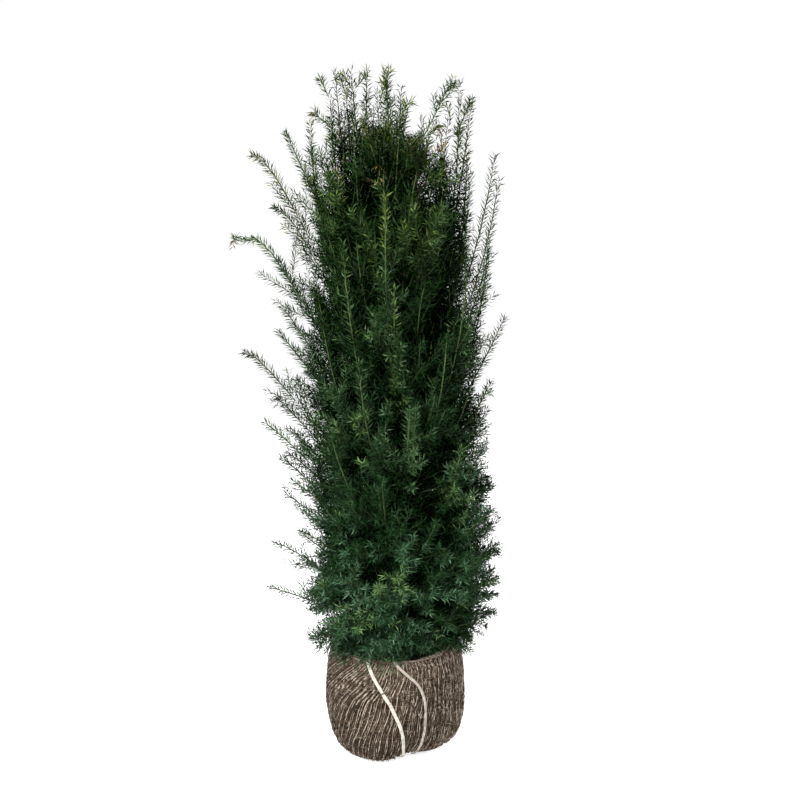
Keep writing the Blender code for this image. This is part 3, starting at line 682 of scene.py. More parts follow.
def mass_branches(mass, rng):
    """The branches of one mass: those on its bough and those beside it on the trunk."""
    bearings, starts, outs = spread_lines(mass, TRUNK_BRANCHES, TRUNK_REACH, rng)
    bow = between(starts, BOW) * rng.uniform(*TRUNK_BOW, TRUNK_BRANCHES)
    paths = trunk_branches(bearings, starts, outs, bow, np.zeros_like(bow))
    paths = wandering(paths, WANDER["trunk"], rng)
    return np.concatenate((bough_branches(mass, rng), paths))


def proud_shoots():
    """Long shoots dealt out evenly round the crown that stand a little proud of its body."""
    number = np.arange(PROUD_SHOOTS)
    bearing = number * GOLDEN_TURN
    height = PROUD_FROM + (PROUD_TO - PROUD_FROM) * (number + 0.5) / PROUD_SHOOTS
    out = body_reach(bearing, height) + PROUD_BY * (1 + np.sin(number * PROUD_WAVE)) / 2
    bow = PROUD_BOW * (height - PROUD_FROM) / (PROUD_TO - PROUD_FROM)
    return np.stack((np.degrees(bearing), height, out, bow, PROUD_NOD + 0 * bow), axis=-1)


def long_branches(rng):
    bearing, height, out, bow, nod = np.concatenate((LONG_SHOOTS, proud_shoots())).T
    start = np.array([start_below(*place) for place in zip(out, height)])
    paths = trunk_branches(np.radians(bearing), start, out, bow, nod)
    return wandering(paths, WANDER["long"], rng)


def leader_branches(rng):
    """The leaders, which rise almost upright from the upper part of the trunk."""
    bearing, height, out, bow, nod = np.array(LEADERS).T
    below, further = LEADER_RUN
    feet = trunk_place(np.minimum(TRUNK_TOP - FOOT_BELOW, height - below - further * out))
    paths = bent_paths(feet, polar(np.radians(bearing), out, height), bow, nod, BRANCH_POINTS)
    return wandering(paths, WANDER["leader"], rng)


def top_sprays():
    foot, tip, nod, _ = zip(*TOP_SPRAYS)
    still = np.zeros(len(TOP_SPRAYS))
    return bent_paths(np.array(foot), np.array(tip), still, np.array(nod), BRANCH_POINTS)


def drooping_branches(rng):
    """Low sprays that leave the foot of the trunk, clear the rim of the wrap and hang over it."""
    bearing, height, out = np.array(DROOPING).T
    feet = trunk_place(BOUGH_FOOT + rng.uniform(*DROOPING_FEET, len(out)))
    rise = RIM_HEIGHT + RIM_CLEARANCE - np.minimum(feet[:, 2], height + FOOT_BELOW)
    tips = polar(np.radians(bearing), out, height)
    paths = bent_paths(feet, tips, np.zeros_like(out), rise, BRANCH_POINTS)
    return wandering(paths, WANDER["drooping"], rng)


def lengths_of(paths):
    return np.linalg.norm(np.diff(paths, axis=1), axis=-1).sum(axis=1)


def places_on(paths, owner, share):
    """Places on the paths at a share of their length, and the direction there."""
    last = paths.shape[1] - 1
    position = np.clip(share, 0, 1) * last
    index = np.minimum(position.astype(int), last - 1)
    part = (position - index)[:, None]
    one = paths[owner, index]
    other = paths[owner, index + 1]
    return one + (other - one) * part, unit(other - one)


def outward(places):
    return unit(places * np.array((1.0, 1.0, 0.0)))


def spread_axes(places, along):
    """Axes across a shoot, with the second on its lit side, and how flat its needles lie."""
    light = unit(UP * 0.8 + outward(places) * 0.5)
    facing = dot(along, light)
    over = light - along * facing
    spare = np.cross(along, np.array((0.0, 1.0, 0.0)))
    over = unit(np.where(np.linalg.norm(over, axis=-1, keepdims=True) < 0.1, spare, over))
    return np.cross(along, over), over, 1 - facing**2


def counted(counts):
    """For things dealt out by count to owners: the owner of each, and its number with that owner."""
    owner = np.repeat(np.arange(len(counts)), counts)
    return owner, np.arange(len(owner)) - np.repeat(np.cumsum(counts) - counts, counts)


def shoots_from(base, heading, lift, length, points):
    """Shoots that start on their headings and bend halfway by a lift."""
    elbow = base + heading * length * 0.5
    end = elbow + unit(heading + lift) * length * 0.5
    return curved(base, elbow, end, points)


def side_shoots(parents, long_from, spacing, longest, points, rng):
    """Shoots that leave each parent on all sides and bend up to the light.

    Their spacing and the length of the longest are read from their heights. The parents from a
    given number on are long shoots, which bear fewer of them.
    """
    middle = parents[:, parents.shape[1] // 2, 2]
    is_long = np.arange(len(parents)) >= long_from
    last_shoot = np.where(is_long, LAST_ON_LONG, LAST_SHOOT)
    room = lengths_of(parents) * (last_shoot - FIRST_SHOOT) * np.where(is_long, FEWER_ON_LONG, 1)
    counts = np.round(room / between(middle, spacing) + rng.random(len(parents)) - 0.5).astype(int)
    owner, number = counted(np.maximum(0, counts))
    part = (number + rng.random(len(owner))) / counts[owner]
    share = FIRST_SHOOT + (last_shoot[owner] - FIRST_SHOOT) * part
    base, along = places_on(parents, owner, share)
    side, over, flat = spread_axes(base, along)
    azimuth = (number * GOLDEN_TURN + owner + rng.normal(0, ROUND_SCATTER, len(owner)))[:, None]
    round_parent = unit(np.cos(azimuth) * side + np.sin(azimuth) * over * (1 - FLATTENED * flat))
    lean = np.radians(between(base[:, 2], SHOOT_LEAN)) + rng.normal(0, LEAN_SCATTER, len(owner))
    lean = lean[:, None]
    heading = unit(along * np.cos(lean) + round_parent * np.sin(lean))
    length = between(base[:, 2], longest) * (1 - SHORTER * share) * rng.uniform(*SHOOT_RANGE, len(owner))
    low = eased(*LOW_HEIGHTS, base[:, 2])[:, None]
    lift = UP * (LIFT - LESS_LOW * low) + outward(base) * OUTWARD
    paths = shoots_from(base, heading, lift, length[:, None], points)
    return drawn_in(paths, parents[owner, -1]), owner


def leader_shoots(leaders, rng):
    """The short shoots that leaders bear on all sides up to their tips."""
    leader_lengths = lengths_of(leaders)
    counts = np.round(leader_lengths * (LAST_ON_LEADER - FIRST_ON_LEADER) / LEADER_SPACING).astype(int)
    owner, number = counted(counts)
    part = (number + rng.random(len(owner))) / counts[owner]
    share = FIRST_ON_LEADER + (LAST_ON_LEADER - FIRST_ON_LEADER) * part
    base, along = places_on(leaders, owner, share)
    side, over, _ = spread_axes(base, along)
    azimuth = (number * GOLDEN_TURN + owner + rng.normal(0, ROUND_SCATTER, len(owner)))[:, None]
    lean = np.radians(rng.uniform(*LEADER_SHOOT_LEAN, len(owner)))[:, None]
    round_leader = np.cos(azimuth) * side + np.sin(azimuth) * over
    heading = unit(along * np.cos(lean) + round_leader * np.sin(lean))
    longest = LEADER_SHOOT * np.minimum(1, leader_lengths / FULL_LEADER)[owner]
    length = longest * (LEADER_SHORTER - share) * rng.uniform(*SHOOT_RANGE, len(owner))
    return shoots_from(base, heading, UP * LEADER_LIFT, length[:, None], SHOOT_POINTS), owner


def drawn_in(paths, parent_tips):
    """Shortens shoots that would stand out further than the crown or their parent's own tip."""
    foot = paths[:, 0]
    end = paths[:, -1]
    bearing = np.arctan2(end[:, 1], end[:, 0])
    reach = folded_reach(bearing, end[:, 2]) - TUFT / 2
    reach = np.maximum(reach, np.hypot(parent_tips[:, 0], parent_tips[:, 1]) * 0.98)
    foot_out = np.hypot(foot[:, 0], foot[:, 1])
    end_out = np.hypot(end[:, 0], end[:, 1])
    room = (reach - foot_out) / np.maximum(end_out - foot_out, 0.001)
    share = np.where(end_out > reach, np.clip(room, LEAST_KEPT_OUT, 1), 1)
    roof = np.maximum(body_top(bearing, end_out), parent_tips[:, 2]) - TUFT / 2
    room = (roof - foot[:, 2]) / np.maximum(end[:, 2] - foot[:, 2], 0.001)
    share = np.where(end[:, 2] > roof, np.minimum(share, np.clip(room, LEAST_KEPT_UP, 1)), share)
    return foot[:, None] + (paths - foot[:, None]) * share[:, None, None]


# ---------------------------------------------------------------- meshes from arrays


def joined_mesh(name, verts, faces, material_index=None):
    """A mesh from an array of points and one of faces that all have the same number of corners."""
    mesh = bpy.data.meshes.new(name)
    corners = faces.shape[1]
    mesh.vertices.add(len(verts))
    mesh.vertices.foreach_set("co", verts.astype(np.float32).ravel())
    mesh.loops.add(faces.size)
    mesh.loops.foreach_set("vertex_index", faces.astype(np.int32).ravel())
    mesh.polygons.add(len(faces))
    mesh.polygons.foreach_set("loop_start", np.arange(0, faces.size, corners, dtype=np.int32))
    if material_index is not None:
        mesh.polygons.foreach_set("material_index", material_index.astype(np.int32))
    mesh.update(calc_edges=True)
    piece = bpy.data.objects.new(name, mesh)
    bpy.context.scene.collection.objects.link(piece)
    return piece


NEEDLE_FACES = np.array(((0, 2, 1), (3, 1, 2), (0, 1, 3), (0, 3, 2)))
NEEDLE_SIDES = np.array((0, 0, 1, 1))  # the last two faces are the underside, which is painted darker, as painted shade


def needle_points(paths, radius, first_share, coarse, rng):
    """Needles all along shoots: root, both edges and tip of each, its shoot and its place on it."""
    first_share = np.broadcast_to(first_share, len(paths))
    counts = lengths_of(paths) * (1 - first_share) / (NEEDLE_PITCH * coarse)
    counts = np.maximum(3, counts).astype(int)
    owner, number = counted(counts)
    share = first_share[owner] + (1 - first_share[owner]) * (number + 0.5) / counts[owner]
    base, along = places_on(paths, owner, share)
    side, over, flat = spread_axes(base, along)
    azimuth = (number * GOLDEN_TURN + owner * 1.7 + rng.normal(0, 0.2, len(owner)))[:, None]
    radial = np.cos(azimuth) * side + np.sin(azimuth) * over * (1 - FLAT_SPREAD * flat)
    radial = unit(radial + over * TOWARDS_LIGHT * flat)
    near_tip = eased(0.75, 1.0, share)
    uneven = rng.normal(0, 1, len(owner)) * (LEAN_UNEVEN + TIP_UNEVEN * near_tip)
    lean = (NEEDLE_LEAN - TIP_LEAN * near_tip + uneven)[:, None]
    heading = along * np.cos(lean) + radial * np.sin(lean)
    length = NEEDLE_LENGTH * rng.uniform(*NEEDLE_RANGE, len(owner)) * (1 - TIP_SHORTER * near_tip)
    length = length[:, None]
    facing = over * flat + along * (1.05 - flat)
    normal = unit(facing - heading * dot(facing, heading))
    twist = rng.normal(0, 1, (len(owner), 1)) * (1.1 - 0.6 * flat)
    normal = normal * np.cos(twist) + np.cross(heading, normal) * np.sin(twist)
    broad = np.maximum(coarse, 1)[owner][:, None]
    across = np.cross(normal, heading) * broad * NEEDLE_WIDTH / 2
    root = base + radial * radius * 0.5
    belly = root + heading * length * NEEDLE_BELLY + normal * NEEDLE_DEPTH
    tip = root + heading * length + along * length * NEEDLE_SWEEP - normal * length * NEEDLE_HOOK
    return np.stack((root, belly + across, belly - across, tip), axis=1), owner, share


def needle_piece(name, points):
    count = len(points)
    faces = (np.arange(count)[:, None, None] * 4 + NEEDLE_FACES[None]).reshape(-1, 3)
    piece = joined_mesh(name, points.reshape(-1, 3), faces, np.tile(NEEDLE_SIDES, count))
    piece.data.shade_flat()
    return piece


def tube_points(paths, radii, sides):
    """Rings of points round many paths at once, and the quads between them with closed ends."""
    count, steps, _ = paths.shape
    along = unit(np.gradient(paths, axis=1))
    helper = np.where(np.abs(along[:, :1, 2:]) > 0.8, np.array((1.0, 0.0, 0.0)), UP)
    across = unit(np.cross(along, np.broadcast_to(helper, along.shape)))
    over = np.cross(along, across)
    angle = np.linspace(0, math.tau, sides, endpoint=False)
    ring = np.cos(angle)[:, None] * across[:, :, None] + np.sin(angle)[:, None] * over[:, :, None]
    points = paths[:, :, None] + ring * radii[:, :, None, None]
    first = np.arange(count)[:, None, None] * steps * sides
    return points.reshape(-1, 3), (first + ring_quads(steps, sides)).reshape(-1, 4)


def tube_piece(name, paths, radii, sides, tone=None):
    """Many closed tubes as one mesh: each end is drawn in to a blunt point.

    The tone, where there is one, is the number of the material at each step of each tube.
    """
    radii = radii.copy()
    radii[:, -1] *= 0.05
    radii[:, 0] *= 0.05
    points, quads = tube_points(paths, radii, sides)
    index = None if tone is None else np.repeat(tone[:, :-1], sides, axis=1).ravel()
    piece = joined_mesh(name, points, quads, index)
    bpy.context.view_layer.objects.active = piece
    piece.data.shade_smooth()
    return piece


# ---------------------------------------------------------------- materials


def mottle_group():
    """Mixes two colours over a surface by a noise, and gives the same noise as a height."""
    group = bpy.data.node_groups.new("mottle", "ShaderNodeTree")
    for label, kind in (("Dark", "Color"), ("Light", "Color"), ("Scale", "Float"), ("Vector", "Vector")):
        group.interface.new_socket(label, in_out="INPUT", socket_type="NodeSocket" + kind)
    for label, kind in (("Colour", "Color"), ("Height", "Float")):
        group.interface.new_socket(label, in_out="OUTPUT", socket_type="NodeSocket" + kind)
    nodes = group.nodes
    wires = group.links
    given = nodes.new("NodeGroupInput")
    result = nodes.new("NodeGroupOutput")
    grain = nodes.new("ShaderNodeTexNoise")
    grain.inputs["Detail"].default_value = 4
    spread = nodes.new("ShaderNodeMapRange")
    spread.inputs["From Min"].default_value = 0.33
    spread.inputs["From Max"].default_value = 0.67
    mix = nodes.new("ShaderNodeMix")
    mix.data_type = "RGBA"
    wires.new(given.outputs["Vector"], grain.inputs["Vector"])
    wires.new(given.outputs["Scale"], grain.inputs["Scale"])
    wires.new(grain.outputs["Fac"], spread.inputs["Value"])
    wires.new(spread.outputs["Result"], mix.inputs["Factor"])
    wires.new(given.outputs["Dark"], mix.inputs["A"])
    wires.new(given.outputs["Light"], mix.inputs["B"])
    wires.new(mix.outputs["Result"], result.inputs["Colour"])
    wires.new(grain.outputs["Fac"], result.inputs["Height"])
    return group


MOTTLE = mottle_group()


def finish(name, dark, light, scale, roughness, relief, stretch=(1, 1, 1), specular=0.5, source="Object"):
    """A surface mottled between two colours, with fine relief from the same grain."""
    material = bpy.data.materials.new(name)
    material.use_nodes = True
    nodes = material.node_tree.nodes
    wires = material.node_tree.links
    shader = nodes["Principled BSDF"]
    place = nodes.new("ShaderNodeTexCoord")
    mapping = nodes.new("ShaderNodeMapping")
    mapping.inputs["Scale"].default_value = stretch
    mottle = nodes.new("ShaderNodeGroup")
    mottle.node_tree = MOTTLE
    mottle.inputs["Dark"].default_value = (*dark, 1)
    mottle.inputs["Light"].default_value = (*light, 1)
    mottle.inputs["Scale"].default_value = scale
    rough = nodes.new("ShaderNodeMapRange")
    rough.inputs["To Min"].default_value = roughness - 0.12
    rough.inputs["To Max"].default_value = roughness + 0.12
    bump = nodes.new("ShaderNodeBump")
    bump.inputs["Distance"].default_value = relief
    wires.new(place.outputs[source], mapping.inputs["Vector"])
    wires.new(mapping.outputs["Vector"], mottle.inputs["Vector"])
    wires.new(mottle.outputs["Colour"], shader.inputs["Base Color"])
    wires.new(mottle.outputs["Height"], rough.inputs["Value"])
    wires.new(rough.outputs["Result"], shader.inputs["Roughness"])
    wires.new(mottle.outputs["Height"], bump.inputs["Height"])
    wires.new(bump.outputs["Normal"], shader.inputs["Normal"])
    shader.inputs["Specular IOR Level"].default_value = specular
    return material


def jute_finish(name, dark, light):
    known = bpy.data.materials.get(name)
    return known or finish(name, dark, light, 130, 0.9, 0.0004, specular=0.2)


def shade_of(colour, amount):
    return tuple(channel * amount for channel in colour)


def needle_finish(name, colour, tint):
    """Waxy needles, duller the darker they are."""
    gloss = 0.40 * min(1, colour[1] / 0.07) ** 1.6 * tint[2]
    colour = tuple(channel * share for channel, share in zip(colour, tint))
    return finish(name, shade_of(colour, 0.5), shade_of(colour, 1.5), 85, 0.52, 0.0002, specular=gloss)


def tone_of(places, rng):
    """A tone for each shoot, by how deep in the crown it lies, its height and chance: deep shoots get dark
    tones, as painted shade.
    """
    bearing = np.arctan2(places[:, 1], places[:, 0])
    out = np.hypot(places[:, 0], places[:, 1])
    height = places[:, 2]
    below_top = np.clip((height - 1.0) / (body_top(bearing, out) - 1.0), 0, 1.2)
    depth = np.maximum(out / body_reach(bearing, height), below_top)
    patch = np.array([noise.noise(Vector(place * PATCHES)) for place in places])
    chance = rng.random(len(places))
    parted = parting(bearing, height)
    depth = depth + DEPTH_SCATTER * rng.normal(0, 1, len(places)) - PARTED * parted
    depth = depth + SHALLOW_LOW * eased(0.42, 0.26, height)
    depth = depth - PARTED_HIGH * eased(0.7, 0.95, height) * parted
    low = eased(0.80, 0.45, height)
    high = eased(1.00, 1.25, height)
    tone = np.where(patch + 0.9 * chance > GREEN_PATCH, "green", "deep").astype("<U8")
    tone = np.where((tone == "green") & (chance < low), "cool", tone)
    tone = np.where((depth > FRESH_OVER) & (patch + chance > FRESH_PATCH), "fresh", tone)
    tone = np.where(chance < OLIVE_SHARE * high, "olive", tone)
    # Deep in the crown the tones are painted shade: deep green, and near black deeper still
    tone = np.where(depth < DEEP_UNDER - 0.08 * low, "deep", tone)
    return np.where(depth < SHADE_UNDER - 0.06 * low, "shade", tone)


# ---------------------------------------------------------------- foliage


def in_light(tones):
    return (tones != "shade") & (tones != "deep")


def tip_tones(tones, heights, rng):
    """New growth at some tips in the light: fresh green, or now and then bronze near the top."""
    chance = rng.random(len(tones))
    lit = in_light(tones)
    often = FRESH_TIPS + MORE_FRESH_HIGH * eased(0.3, 0.8, heights)
    tips = np.where(lit & (chance < often), "fresh", "").astype("<U8")
    return np.where(lit & (heights > 1.0) & (chance < BRONZE_TIPS), "bronze", tips)


def coarse_for(tones, heights):
    """How much fewer and wider than usual the needles are: most where they are hidden, low down."""
    hidden = COARSE - (COARSE - COARSE_HIGH) * eased(0.95, 1.15, heights)
    return np.where(tones == "shade", hidden, np.where(tones == "deep", 1.0, CLOSE))


def dress(piece, nodes=()):
    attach(piece, "root")
    if nodes:
        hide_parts(*nodes)


def grow_twigs(rng):
    """Branches, side shoots and sprigs, each grown from the one before, and which bears which."""
    common = np.concatenate([mass_branches(mass, rng) for mass in MASSES] + [drooping_branches(rng)])
    leaders = np.concatenate((leader_branches(rng), top_sprays()))
    branches = np.concatenate((common, long_branches(rng)))
    shoots, parent = side_shoots(branches, len(common), SHOOT_SPACING, SHOOT_LENGTH, SHOOT_POINTS, rng)
    on_leaders, leader = leader_shoots(leaders, rng)
    shoots = np.concatenate((shoots, on_leaders))
    parent = np.concatenate((parent, leader + len(branches)))
    branches = np.concatenate((branches, leaders))
    sprigs, bearer = side_shoots(shoots, len(shoots), SPRIG_SPACING, SPRIG_LENGTH, SPRIG_POINTS, rng)
    return branches, shoots, parent, sprigs, bearer


def twig_levels(branches, shoots, parent, sprigs, bearer, rng):
    """For each level of twigs its paths, radius, bare share at the foot, coarseness and tones."""
    branch_middle = branches[:, BRANCH_TONE_POINT]
    shoot_middle = shoots[:, SHOOT_POINTS // 2]
    branch_tones = tone_of(branch_middle, rng)
    shoot_tones = tone_of(shoot_middle, rng)
    like_parent = (rng.random(len(shoots)) < 0.5) & (shoot_tones != "shade")
    shoot_tones = np.where(like_parent, branch_tones[parent], shoot_tones)
    sprig_tones = shoot_tones[bearer]
    coarse = coarse_for(branch_tones, branch_middle[:, 2])
    coarse[-LONG_COUNT:] = CROWDED
    bare = np.full(len(branches), BARE_BRANCH)
    bare[-LEADER_COUNT:] = BARE_LEADER
    bare[-len(TOP_SPRAYS) :] = BARE_SPRAY
    shoot_coarse = coarse_for(shoot_tones, shoot_middle[:, 2])
    sprig_coarse = coarse_for(sprig_tones, sprigs[:, SPRIG_POINTS // 2, 2])
    return (
        (branches, BRANCH_RADIUS, bare, coarse, branch_tones),
        (shoots, SHOOT_RADIUS, BARE_SHOOT, shoot_coarse, shoot_tones),
        (sprigs, TIP_RADIUS, BARE_SHOOT, sprig_coarse, sprig_tones),
    )


def cover_with_needles(levels, rng):
    """The needles along every level of twigs, and the tone of each."""
    points = []
    tones = []
    for paths, radius, bare, coarse, twig_tones in levels:
        placed, owner, share = needle_points(paths, radius, bare, coarse, rng)
        tips = tip_tones(twig_tones, paths[:, -1, 2], rng)
        if paths is levels[0][0]:
            tips = np.where(tips == "bronze", "fresh", tips)
            tips[-len(TOP_SPRAYS) :] = [spray[3] for spray in TOP_SPRAYS]
        tips = tips[owner]
        points.append(placed)
        tones.append(np.where((share > FRESH_FROM) & (tips != ""), tips, twig_tones[owner]))
    points = np.concatenate(points)
    tones = np.concatenate(tones)
    darkened = in_light(tones) & (rng.random(len(tones)) < DARK_NEEDLES)
    tones = np.where(darkened, "deep", tones)
    over = points[..., 2].min(axis=1) > RIM_HEIGHT + RIM_GAP
    beyond = np.hypot(points[..., 0], points[..., 1]).min(axis=1) > MOUTH_RADIUS + MOUTH_GAP
    return points[over | beyond], tones[over | beyond]


def make_needles(points, tones, rng):
    """One mesh of needles for each tone in each band of height."""
    height = points[:, 3, 2] + rng.normal(0, BAND_SCATTER, len(points))
    for band, floor, roof, tiers, tint in BANDS:
        nodes = ["foliage_" + mass.label for mass in MASSES if mass.tier in tiers]
        if band == "high":
            nodes.append("foliage_leader")
        for tone, (above, below) in TONES.items():
            chosen = points[(tones == tone) & (height >= floor) & (height < roof)]
            if len(chosen) == 0:
                continue
            piece = needle_piece(f"needles_{tone}_{band}", chosen)
            piece.data.materials.append(needle_finish(f"needle_{tone}_{band}", above, tint))
            # The underside is a darker copy of the top, as painted shade
            piece.data.materials.append(needle_finish(f"underside_{tone}_{band}", below, tint))
            dress(piece, nodes)


def twig_piece(name, paths, thick, thin, sides):
    radii = np.tile(np.linspace(thick, thin, paths.shape[1]), (len(paths), 1))
    return tube_piece(name, paths, radii, sides)


def make_twigs(branches, shoots, sprigs):
    """The twigs: each branch is woody up to its middle and green from there on."""
    bark = finish("twig_bark", (0.045, 0.024, 0.014), (0.11, 0.06, 0.034), 120, 0.8, 0.0004)
    pale = finish("stem_green", (0.036, 0.072, 0.016), (0.085, 0.130, 0.032), 80, 0.6, 0.0002)
    green = finish("twig_green", (0.010, 0.032, 0.007), (0.034, 0.075, 0.017), 80, 0.6, 0.0002)
    middle = BRANCH_POINTS // 2
    half_way = (BRANCH_RADIUS + BRANCH_TIP_RADIUS) / 2
    woody = branches[: -len(TOP_SPRAYS)]
    sprays = branches[-len(TOP_SPRAYS) :]
    rows = (
        ("twigs_wood", woody[:, : middle + 1], BRANCH_RADIUS * 1.2, half_way * 1.2, 5, bark),
        ("twigs_green_stems", woody[:, middle:], half_way, BRANCH_TIP_RADIUS, 4, pale),
        ("twigs_top_sprays", sprays, BRANCH_RADIUS * 0.7, BRANCH_TIP_RADIUS * 0.7, 4, pale),
        ("twigs_side_shoots", shoots, SHOOT_RADIUS, TIP_RADIUS, 3, green),
        ("twigs_sprigs", sprigs, TIP_RADIUS * 1.4, TIP_RADIUS, 3, green),
    )
    for name, paths, thick, thin, sides, skin in rows:
        piece = twig_piece(name, paths, thick, thin, sides)
        piece.data.materials.append(skin)
        dress(piece)


def grow_foliage():
    rng = np.random.default_rng(SEED)
    branches, shoots, parent, sprigs, bearer = grow_twigs(rng)
    levels = twig_levels(branches, shoots, parent, sprigs, bearer, rng)
    make_needles(*cover_with_needles(levels, rng), rng)
    make_twigs(branches, shoots, sprigs)


# ---------------------------------------------------------------- trunk and boughs


def deselect():
    bpy.ops.object.select_all(action="DESELECT")


def bent_limb(name, path, radii, round_steps):
    """A tapering limb: a curve through its middle line, given a round section and made a mesh."""
    deselect()
    bpy.ops.curve.primitive_nurbs_path_add()
    limb = bpy.context.object
    limb.name = name
    curve = limb.data
    curve.splines.clear()
    spline = curve.splines.new("POLY")
    spline.points.add(len(path) - 1)
    for knot, place, radius in zip(spline.points, path, radii):
        knot.co = (*place, 1)
        knot.radius = radius
    curve.bevel_depth = 1
    curve.bevel_resolution = round_steps
    curve.use_fill_caps = True
    bpy.ops.object.convert(target="MESH")
    bpy.ops.object.mode_set(mode="EDIT")
    bpy.ops.mesh.select_all(action="SELECT")
    bpy.ops.mesh.remove_doubles(threshold=0.00001)
    bpy.ops.mesh.normals_make_consistent(inside=False)
    bpy.ops.object.mode_set(mode="OBJECT")
    bpy.ops.object.transform_apply()
    return bpy.context.object


def raise_bark(limb, depth, fine):
    """Moves the skin of a limb in and out in flakes that are longer than they are wide."""
    mesh = limb.data
    for vert in mesh.vertices:
        place = Vector((vert.co.x * fine, vert.co.y * fine, vert.co.z * fine * 0.28))
        flake = noise.fractal(place, 0.9, 2.1, 4)
        ridge = abs(noise.noise(place * 0.6 + Vector((7, 3, 5))))
        vert.co += vert.normal * depth * (flake * 0.6 + ridge - 0.3)
    mesh.shade_smooth()


def make_limbs():
    bark = finish("yew_bark", (0.050, 0.022, 0.013), (0.16, 0.085, 0.055), 90, 0.85, 0.0012, (1, 1, 0.3))
    heights = SOIL_HEIGHT + 0.0005 + (TRUNK_TOP - SOIL_HEIGHT) * np.linspace(0, 1, 180) ** 1.2
    trunk = bent_limb("trunk_bark", trunk_place(heights), between(heights, TRUNK_RADIUS), 8)
    raise_bark(trunk, TRUNK_BARK_DEPTH, TRUNK_FLAKES)
    trunk.data.materials.append(bark)
    dress(trunk, ("trunk",))
    for mass in MASSES:
        bough = bent_limb("bark_" + mass.label, mass.bough(24), mass.bough_radii(24), 3)
        raise_bark(bough, BOUGH_BARK_DEPTH, BOUGH_FLAKES)
        bough.data.materials.append(bark)
        dress(bough, ("bough_" + mass.label,))


# ---------------------------------------------------------------- root ball, wrap and twine


def notch(bearing):
    front = turn_between(NOTCH_BEARING, bearing) / NOTCH_WIDTH
    back = turn_between(NOTCH_BEARING + math.pi, bearing) / NOTCH_WIDTH
    return np.exp(-front * front) + np.exp(-back * back)


def raised(bearing, swelling):
    """How much a swelling gives at a bearing, from its middle, its width and its amount there."""
    middle, width, amount = swelling
    return amount * np.exp(-((turn_between(middle, bearing) / width) ** 2))


def ball_place(bearing, out, height):
    """A point of the turned ball moved to the lobed shape that the twine gives it."""
    low = np.maximum(0.0, 1 - height / BELLY_HEIGHT)
    lobe = low * sum(share * np.maximum(0.0, np.cos(bearing - middle)) ** 2 for middle, share in LOBES)
    oval = OVAL * np.cos(2 * (bearing - FRONT_LOBE))
    scale = 1 + lobe + oval - NOTCH_DEPTH * low * low * notch(bearing)
    underside = np.maximum(0.0, 1 - height / (BELLY_HEIGHT / 3))
    lift = NOTCH_LIFT * notch(bearing) + raised(bearing, HEEL)
    lift = lift * underside * np.clip(2 * out / FOOT_RADIUS - 1, 0, 1)
    lift = lift + raised(bearing, FLAP) * eased(0.16, RIM_HEIGHT, height)
    return polar(bearing, out * scale, height + lift)


def side_profile(share):
    """Out and height down the side of the wrap, from its crest at 0 to its foot at 1."""
    upper = np.clip(share * 2, 0, 1) * math.pi / 2
    lower = np.clip(share * 2 - 1, 0, 1) * math.pi / 2
    out = np.where(
        share < 0.5,
        MOUTH_RADIUS + (BELLY_RADIUS - MOUTH_RADIUS) * np.sin(upper),
        FOOT_RADIUS + (BELLY_RADIUS - FOOT_RADIUS) * np.cos(lower),
    )
    height = np.where(
        share < 0.5,
        BELLY_HEIGHT + (RIM_HEIGHT - BELLY_HEIGHT) * np.cos(upper),
        BELLY_HEIGHT * (1 - np.sin(lower)),
    )
    return out, height


def slant(bearing, share):
    """How far round the ball a lengthwise thread has wandered, further down its side."""
    turned = 0.012 * np.sin(share * 24 + 3 * np.sin(bearing * 4))
    turned = turned + 0.03 * share * np.sin(bearing * 5 + share * 4)
    for middle, wider, amount, begin, end in FANS:
        aside = turn_between(middle, bearing)
        near = np.exp(-((aside / np.where(aside > 0, FAN_WIDTH, wider * FAN_WIDTH)) ** 2))
        turned = turned - amount * near * eased(begin, end, share)
    return turned + raised(bearing, BACK_FAN) * share


FINE_BEARINGS = np.linspace(-math.tau, 2 * math.tau, 6001)
HALFWAY_DOWN = FINE_BEARINGS + slant(FINE_BEARINGS, np.full_like(FINE_BEARINGS, 0.5))


def grain_at(turn):
    """The bearing on the rim of the thread that is at an even turn halfway down the side."""
    return np.interp(turn, HALFWAY_DOWN, FINE_BEARINGS)


def ridge_at(turn, share):
    """How near the crest of a ridge of the cloth a place is, from -1 to 1."""
    drift = 1.1 * np.sin(turn * 4 + share * 3) + 0.8 * np.sin(turn * 9 - share * 5)
    return np.cos(turn * RIDGES + drift)


def cloth_place(turn, share, lift):
    """A point of the ridged and creased cloth on the side of the ball, lifted off it."""
    grain = grain_at(turn)
    bearing = grain + slant(grain, share)
    relief = ridge_at(turn, share) * RIDGE * (0.75 + 0.35 * np.sin(turn * 7 + share * 6))
    for middle, width, low, slope in CREASES:
        aside = turn_between(middle, bearing)
        line = (share - low - slope * aside) / CREASE_WIDTH
        relief = relief - CREASE * np.exp(-line * line - (aside / width) ** 2)
    place, normal = side_place(bearing, share)
    place = place + normal * (lift + relief)[..., None]
    place[..., 2] = np.maximum(place[..., 2], THREAD_RADIUS * 1.6)
    return place


def side_place(bearing, share):
    """A point on the smooth side of the ball, and which way is out of it."""
    out, height = side_profile(share)
    place = ball_place(bearing, out, height)
    ahead = ball_place(bearing + 0.015, out, height)
    next_out, next_height = side_profile(np.clip(share + 0.01, 0, 1))
    last_out, last_height = side_profile(np.clip(share - 0.01, 0, 1))
    down = ball_place(bearing, next_out, next_height) - ball_place(bearing, last_out, last_height)
    return place, unit(np.cross(down, ahead - place))


